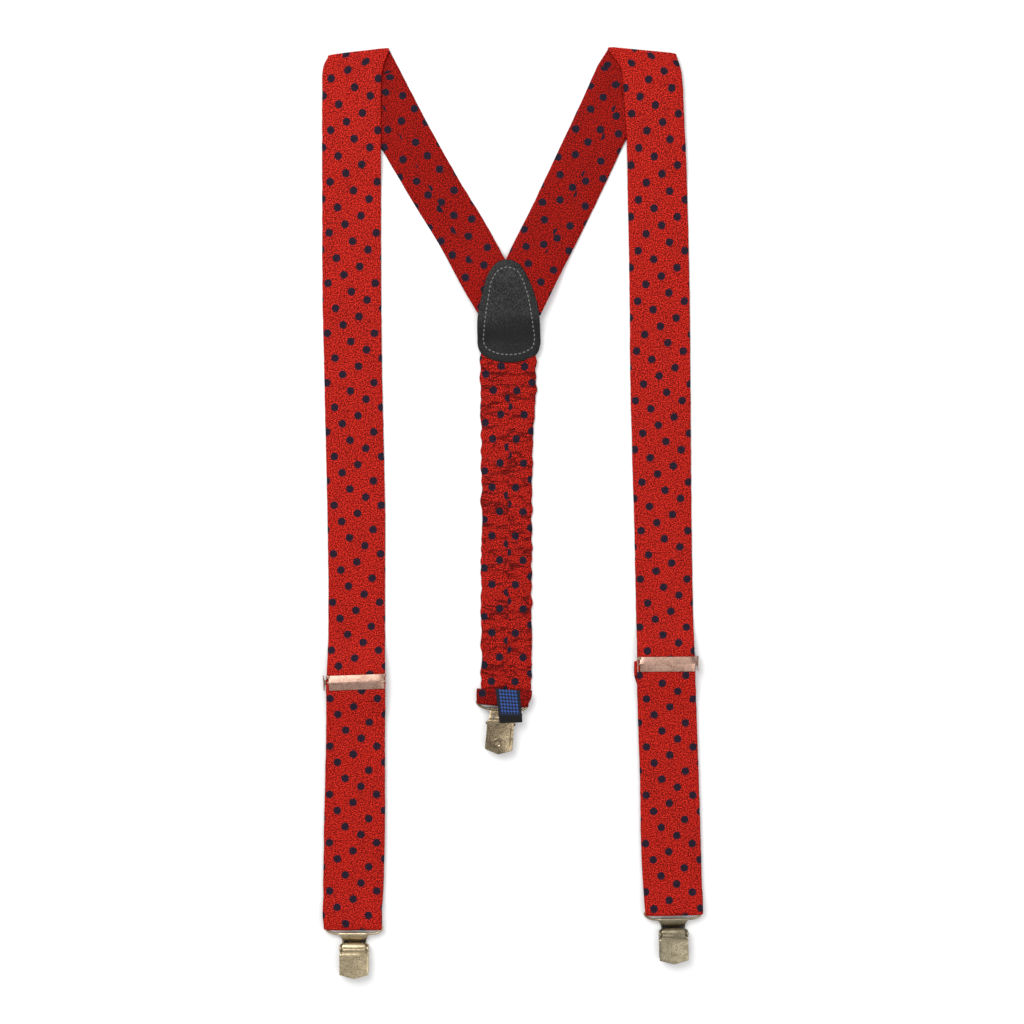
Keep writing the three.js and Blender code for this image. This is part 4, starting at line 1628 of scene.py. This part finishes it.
    def dress(self, nickel: bpy.types.Material, rubber: bpy.types.Material) -> None:
        """Builds the frame and the lever, and finishes the pad, pin and jaw of the CAD model.

        Args:
            nickel: the finish of the metal.
            rubber: the finish of the pad, and of the dark sheet that is painted shadow under the windows.
        """
        body = self.body
        parts = [self.build_ring(), *self.build_neck(), *self.build_base(), *self.build_ears()]
        shell = join(f"{body}_frame_shell", parts)
        lever = self.build_lever()
        for piece, node, rides in (
            (shell, f"{body}_frame", body),
            (lever, f"{body}_lever", body.replace("clip", "lever")),
        ):
            piece.data.transform(self.place())
            dress(piece, "nickel", nickel, rubber)
            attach(piece, rides)
            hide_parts(node)
        for part, finish in (("pad", rubber), ("pin", nickel), ("jaw", nickel)):
            refinish(f"{body}_{part}", finish)
        log.info("%s: frame, lever, pad, pin and jaw", body)


@dataclass
class BackClip(Clip):
    """The back clip: it lies on its lever and shows its plain rear, with a boss and a crescent in it."""

    body: str = "back_clip"
    ring: float = 14.9
    half: float = 7.9
    neck_top: float = 7.6
    neck_low: float = 6.9
    windows: tuple[tuple[float, float, float], ...] = ((-4.2, -9.2, 0.95), (4.2, -9.2, 0.95))
    shadowed_windows: bool = False
    tip: float = 2.6
    boss: Point = (-0.6, -24.6)

    def place(self) -> Matrix:
        """Where the clip's frame lies, turned over about the bar."""
        joint = hinge("back_clip_swing")
        x_axis = -Vector(joint["axis"])
        at = Vector(joint["pos_m"]) + Vector((0, 0, self.bar * MM))
        turned = Matrix.Rotation(math.atan2(x_axis.y, x_axis.x), 4, "Z")
        return Matrix.Translation(at) @ turned @ Matrix.Diagonal((1, 1, -1, 1))

    def build_base(self) -> list[bpy.types.Object]:
        """The base plate with its pointed end, a pressed boss and crescent, and two ribs."""
        half, end = self.half, self.base_end
        outline = [
            (-half + 0.6, self.neck_end - 1.2), (-half + 0.3, -11.6), (-half, -12.4),
            (-half - 0.3, end + 0.6),
            (-half + 0.6, end - 0.2), (0.0, end - self.tip), (half - 0.6, end - 0.2), (half + 0.3, end + 0.6),
            (half, -12.4), (half - 0.3, -11.6), (half - 0.6, self.neck_end - 1.2),
        ]
        parts = [plate(outline, 0.0, self.wall, 0.25)]
        x, y = self.boss
        parts.append(rod((x, y, 0.6), (x, y, -0.6), 1.8, 0.25))
        arc = np.linspace(math.radians(35), math.radians(145), 9)
        parts.append(wire([(x + 3.1 * math.cos(a), y + 3.1 * math.sin(a), 0.0) for a in arc], 0.5))
        for side in (-1, 1):
            rib = ((1.5, -14.5), (1.4, -20.0), (1.5, -26.0))  # in from the side, and y
            parts.append(wire([(side * (half - inset), y, 0.0) for inset, y in rib], 0.35))
        return parts

    def dress(self, nickel: bpy.types.Material, rubber: bpy.types.Material) -> None:
        """Dresses the clip, then turns its flipped faces out.

        Args:
            nickel: the finish of the metal.
            rubber: the finish of the pad.
        """
        super().dress(nickel, rubber)
        for name in ("back_clip_frame_shell", "back_clip_lever_plate"):
            bpy.data.objects[name].data.flip_normals()


@dataclass
class Adjuster:
    """The slide adjuster's hinged cover: two long facets that meet in a ridge, with an ear at each end."""

    side: Side
    middle: Point
    tilt: float
    half: float = 16.3
    reach: float = 4.55
    ridge: float = 6.9
    ear: float = 17.7

    def build(self) -> bpy.types.Object:
        """Makes the cover in its own frame and puts it in place."""
        reach, top = self.reach, self.ridge
        rows = [
            (reach, self.half, top - 1.15), (reach - 0.25, self.half, top - 0.75),
            (0.45, self.half, top - 0.12), (0.0, self.half, top), (-0.45, self.half, top - 0.12),
            (0.25 - reach, self.half - 0.1, top - 0.75),
            (-reach, self.half - 0.1, top - 1.15),
        ]
        cover = bent_sheet(rows, 10, 0.1, 0.55)
        parts = [cover]
        for side in (-1, 1):
            parts.append(rod((side * (self.half - 0.6), 3.55, 5.95), (side * self.ear, 3.55, 5.95), 0.85))
            parts.append(rod((side * (self.half - 0.3), 0.2, 6.1), (side * (self.half + 0.9), 0.2, 6.1), 0.6))
        piece = join(f"{self.side.value}_adjuster_plate", parts)
        at = Matrix.Translation(Vector((*self.middle, 0)) * MM)
        piece.data.transform(at @ Matrix.Rotation(math.radians(self.tilt), 4, "Z"))
        return piece

    def dress(self, nickel: bpy.types.Material) -> None:
        """Builds the cover, and finishes it and the frame under it.

        Args:
            nickel: their finish.
        """
        side = self.side.value
        piece = dress(self.build(), "nickel", nickel)
        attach(piece, f"{side}_adjuster_lid")
        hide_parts(f"{side}_adjuster_cover")
        refinish(f"{side}_adjuster_frame", nickel)
        log.info("%s adjuster: cover and frame", side)


# ---------------------------------------------------------------- studio


@dataclass
class Studio:
    """A white sheet on the floor, soft light from above, and a camera that looks straight down."""

    width: float = 0.6075  # of the floor that the camera takes in, in metres
    lens: float = 85.0
    aim: tuple[float, float, float] = (-0.00063, -0.00047, 0.003)

    def build_floor(self, paper: bpy.types.Material) -> None:
        """The floor, just under the straps."""
        deselect()
        bpy.ops.mesh.primitive_plane_add(size=6.0, location=(0, 0, -0.0003))
        floor = bpy.context.object
        floor.name = "studio_floor"
        floor.data.materials.append(paper)

    def build_lights(self) -> None:
        """Two soft boxes and a pale sky."""
        for name, place, size, power in (
            ("key_light", (-0.7, 0.95, 1.25), 1.3, 26.0),
            ("fill_light", (0.8, -0.5, 1.5), 1.3, 8.0),
        ):
            lamp = bpy.data.lights.new(name, "AREA")
            lamp.size = size
            lamp.energy = power
            obj = add(name, lamp)
            obj.location = place
            obj.rotation_euler = (-Vector(place)).to_track_quat("-Z", "Y").to_euler()
        world = bpy.data.worlds.new("studio_sky")
        world.use_nodes = True
        world.node_tree.nodes["Background"].inputs["Color"].default_value = (1, 1, 1, 1)
        world.node_tree.nodes["Background"].inputs["Strength"].default_value = 0.7
        bpy.context.scene.world = world

    def build_camera(self) -> None:
        """The camera, straight above the middle of the object."""
        camera = bpy.data.cameras.new("camera")
        camera.lens = self.lens
        camera.sensor_width = 36.0
        obj = add("camera", camera)
        away = self.lens / camera.sensor_width * self.width
        obj.location = Vector(self.aim) + Vector((0, 0, away))
        bpy.context.scene.camera = obj
        bpy.context.scene.view_settings.view_transform = "Standard"


LEFT_DOTS = Lattice((0.816, -1.387, -0.606, 0.783), (1.122, -8.648, 0.162, 0.098), 0.2145, 4, (0.0, 12.0))
RIGHT_DOTS = Lattice((1.729, -1.884, 0.176, 0.107), (7.099, -8.667, 0.175, 0.136), 0.2166, 2, (53.0, 30.0))

LEFT = Front(
    side=Side.LEFT,
    edges=(
        (-239.6, -113.0, -78.2), (-230.7, -112.8, -77.3), (-212.9, -112.6, -76.6), (-186.2, -112.2, -76.0),
        (-159.5, -111.6, -76.0), (-132.8, -111.0, -76.0), (-106.1, -110.8, -75.6), (-80.0, -109.9, -76.0),
        (-34.9, -109.8, -76.0), (0.7, -110.4, -76.0), (27.4, -111.0, -76.6), (54.1, -111.6, -77.2),
        (80.8, -112.2, -77.8), (125.3, -113.2, -78.3), (200.0, -113.4, -78.4), (254.0, -113.3, -78.3),
    ),
    heights=(
        (-246.4, 4.1), (-224.0, UPPER), (-129.0, UPPER), (-107.0, 4.7), (-95.5, 4.7),
        (-73.0, FLOOR), (187.0, FLOOR), (206.0, UPPER), (254.0, 2.6),
    ),
    bar=((-112.3, -246.42), (-77.8, -246.42)),
    bar_height=2.5,
    returns=(
        (-101.2, -111.0, -77.4), (-102.5, -111.0, -77.4), (-130.0, -110.2, -77.2), (-200.0, -111.0, -77.6),
        (-230.0, -111.6, -78.2),
    ),
    crease=((-109.9, 269.3), (-73.4, 273.7)),
    fold_top=((-113.3, 258.6, -77.9, 258.6), (-112.3, 264.8, -76.6, 265.4)),
    seam=-3.3,
    fold_low=((-101.0, 253.2, -67.2, 262.0),),
    diagonal=(
        (-92.0, 238.3, -62.6, 253.0, FLOOR), (-77.8, 214.7, -50.8, 230.3, FLOOR),
        (-58.1, 181.4, -31.8, 196.3, FLOOR),
        (-43.2, 157.3, -16.6, 171.4, 0.9), (-30.9, 134.2, -4.7, 149.6, 3.3), (-17.0, 110.5, 9.4, 125.4, 3.4),
    ),
    dots=LEFT_DOTS,
    seam_dots=(
        Lattice((1.915,), (0.058, 8.603), turned=15.8), Lattice((0.871,), (0.827, 8.657), turned=13.9)
    ),
    diagonal_start=-40.3,
)

RIGHT = Front(
    side=Side.RIGHT,
    edges=(
        (-230.7, 77.7, 112.3), (-221.8, 77.1, 112.1), (-195.1, 75.9, 111.4), (-159.5, 75.3, 110.3),
        (-123.9, 74.1, 109.1), (-106.1, 73.5, 108.4), (-79.4, 73.4, 107.5), (-52.7, 72.9, 106.8),
        (-17.1, 72.2, 106.2), (36.3, 70.7, 105.7), (80.8, 69.6, 105.4), (125.3, 69.3, 105.0),
        (178.7, 68.3, 103.8), (202.4, 67.8, 103.1), (225.0, 67.2, 102.0), (252.0, 65.4, 100.8),
    ),
    heights=(
        (-237.8, 4.1), (-216.0, UPPER), (-119.0, UPPER), (-96.5, 4.7), (-84.5, 4.7),
        (-62.0, FLOOR), (190.0, FLOOR), (208.0, UPPER), (252.0, 2.6),
    ),
    bar=((78.3, -238.15), (112.8, -237.43)),
    bar_height=2.5,
    returns=(
        (-90.6, 71.9, 106.0), (-92.0, 71.9, 106.0), (-97.8, 72.0, 106.4), (-103.0, 73.6, 107.0),
        (-130.0, 75.2, 108.6), (-190.0, 76.8, 110.3), (-220.0, 77.8, 111.6),
    ),
    crease=((56.2, 274.2), (97.0, 270.3)),
    fold_top=((63.9, 263.0, 99.7, 262.0),),
    fold_low=((50.2, 264.8, 84.2, 255.5),),
    diagonal=(
        (40.9, 244.0, 71.2, 229.5, FLOOR), (25.5, 211.3, 55.9, 196.8, FLOOR),
        (10.1, 178.7, 40.1, 164.2, 0.75),
        (1.2, 160.9, 31.0, 146.4, 1.9), (-7.5, 143.0, 22.2, 128.5, 4.7), (-13.6, 130.3, 16.1, 115.8, 4.8),
    ),
    dots=RIGHT_DOTS,
    seam_dots=(
        Lattice((1.157,), (0.117, 8.803), turned=-6.46), Lattice((0.792,), (-0.005, 8.831), turned=-6.27)
    ),
    diagonal_start=-25.9,
    seam=3.3,
)


def main() -> None:
    """Builds every sub-assembly around the frame, then the studio."""
    logging.basicConfig(level=logging.INFO, format="%(name)s: %(message)s")
    # The first two satins are one cloth in two tones: painted sheen on the faces at the front, painted shade
    # on the faces at the back.
    sheen_satin = DottedSatin("painted_sheen_satin", paint(152, 15, 7), paint(72, 3, 2), paint(218, 46, 32)).material()
    shaded_satin = DottedSatin("painted_shade_satin", paint(127, 6, 3), paint(50, 2, 1), paint(186, 27, 15)).material()
    gathered = DottedSatin(
        "gathered_satin", paint(140, 13, 6), paint(46, 2, 2), paint(216, 42, 28), pucker_shade_and_relief=0.75
    ).material()
    hem_cloth = paint(108, 5, 3), paint(44, 1, 1), paint(172, 22, 14)
    hemmed = DottedSatin("hem_satin", *hem_cloth, pucker_shade_and_relief=0.4).material()
    nickel, rubber = Nickel().material(), GripRubber().material()
    rosy = Nickel("rosy_nickel", paint(188, 152, 136), paint(124, 98, 84)).material()
    # A darker, browner copy of the plating, given to the back clip.
    back_clip_plating = Nickel("darker_nickel", paint(166, 150, 122), paint(64, 50, 38), 0.2).material()
    for front in (LEFT, RIGHT):
        front.dress(sheen_satin, shaded_satin)
    Back().dress(gathered, hemmed, WovenLabel().material())
    Yoke().dress(Leather().material(), Thread().material())
    brassy = Nickel("brassy_nickel", paint(158, 148, 124), paint(100, 92, 74)).material()
    Clip("left_clip").dress(nickel, rubber)
    Clip("right_clip").dress(brassy, rubber)
    BackClip().dress(back_clip_plating, rubber)
    Adjuster(Side.LEFT, (-92.8, -101.3), 2.0).dress(rosy)
    Adjuster(Side.RIGHT, (91.4, -90.6), 0.4).dress(rosy)
    studio = Studio()
    studio.build_floor(Paper().material())
    studio.build_lights()
    studio.build_camera()


if __name__ == "__main__":
    main()
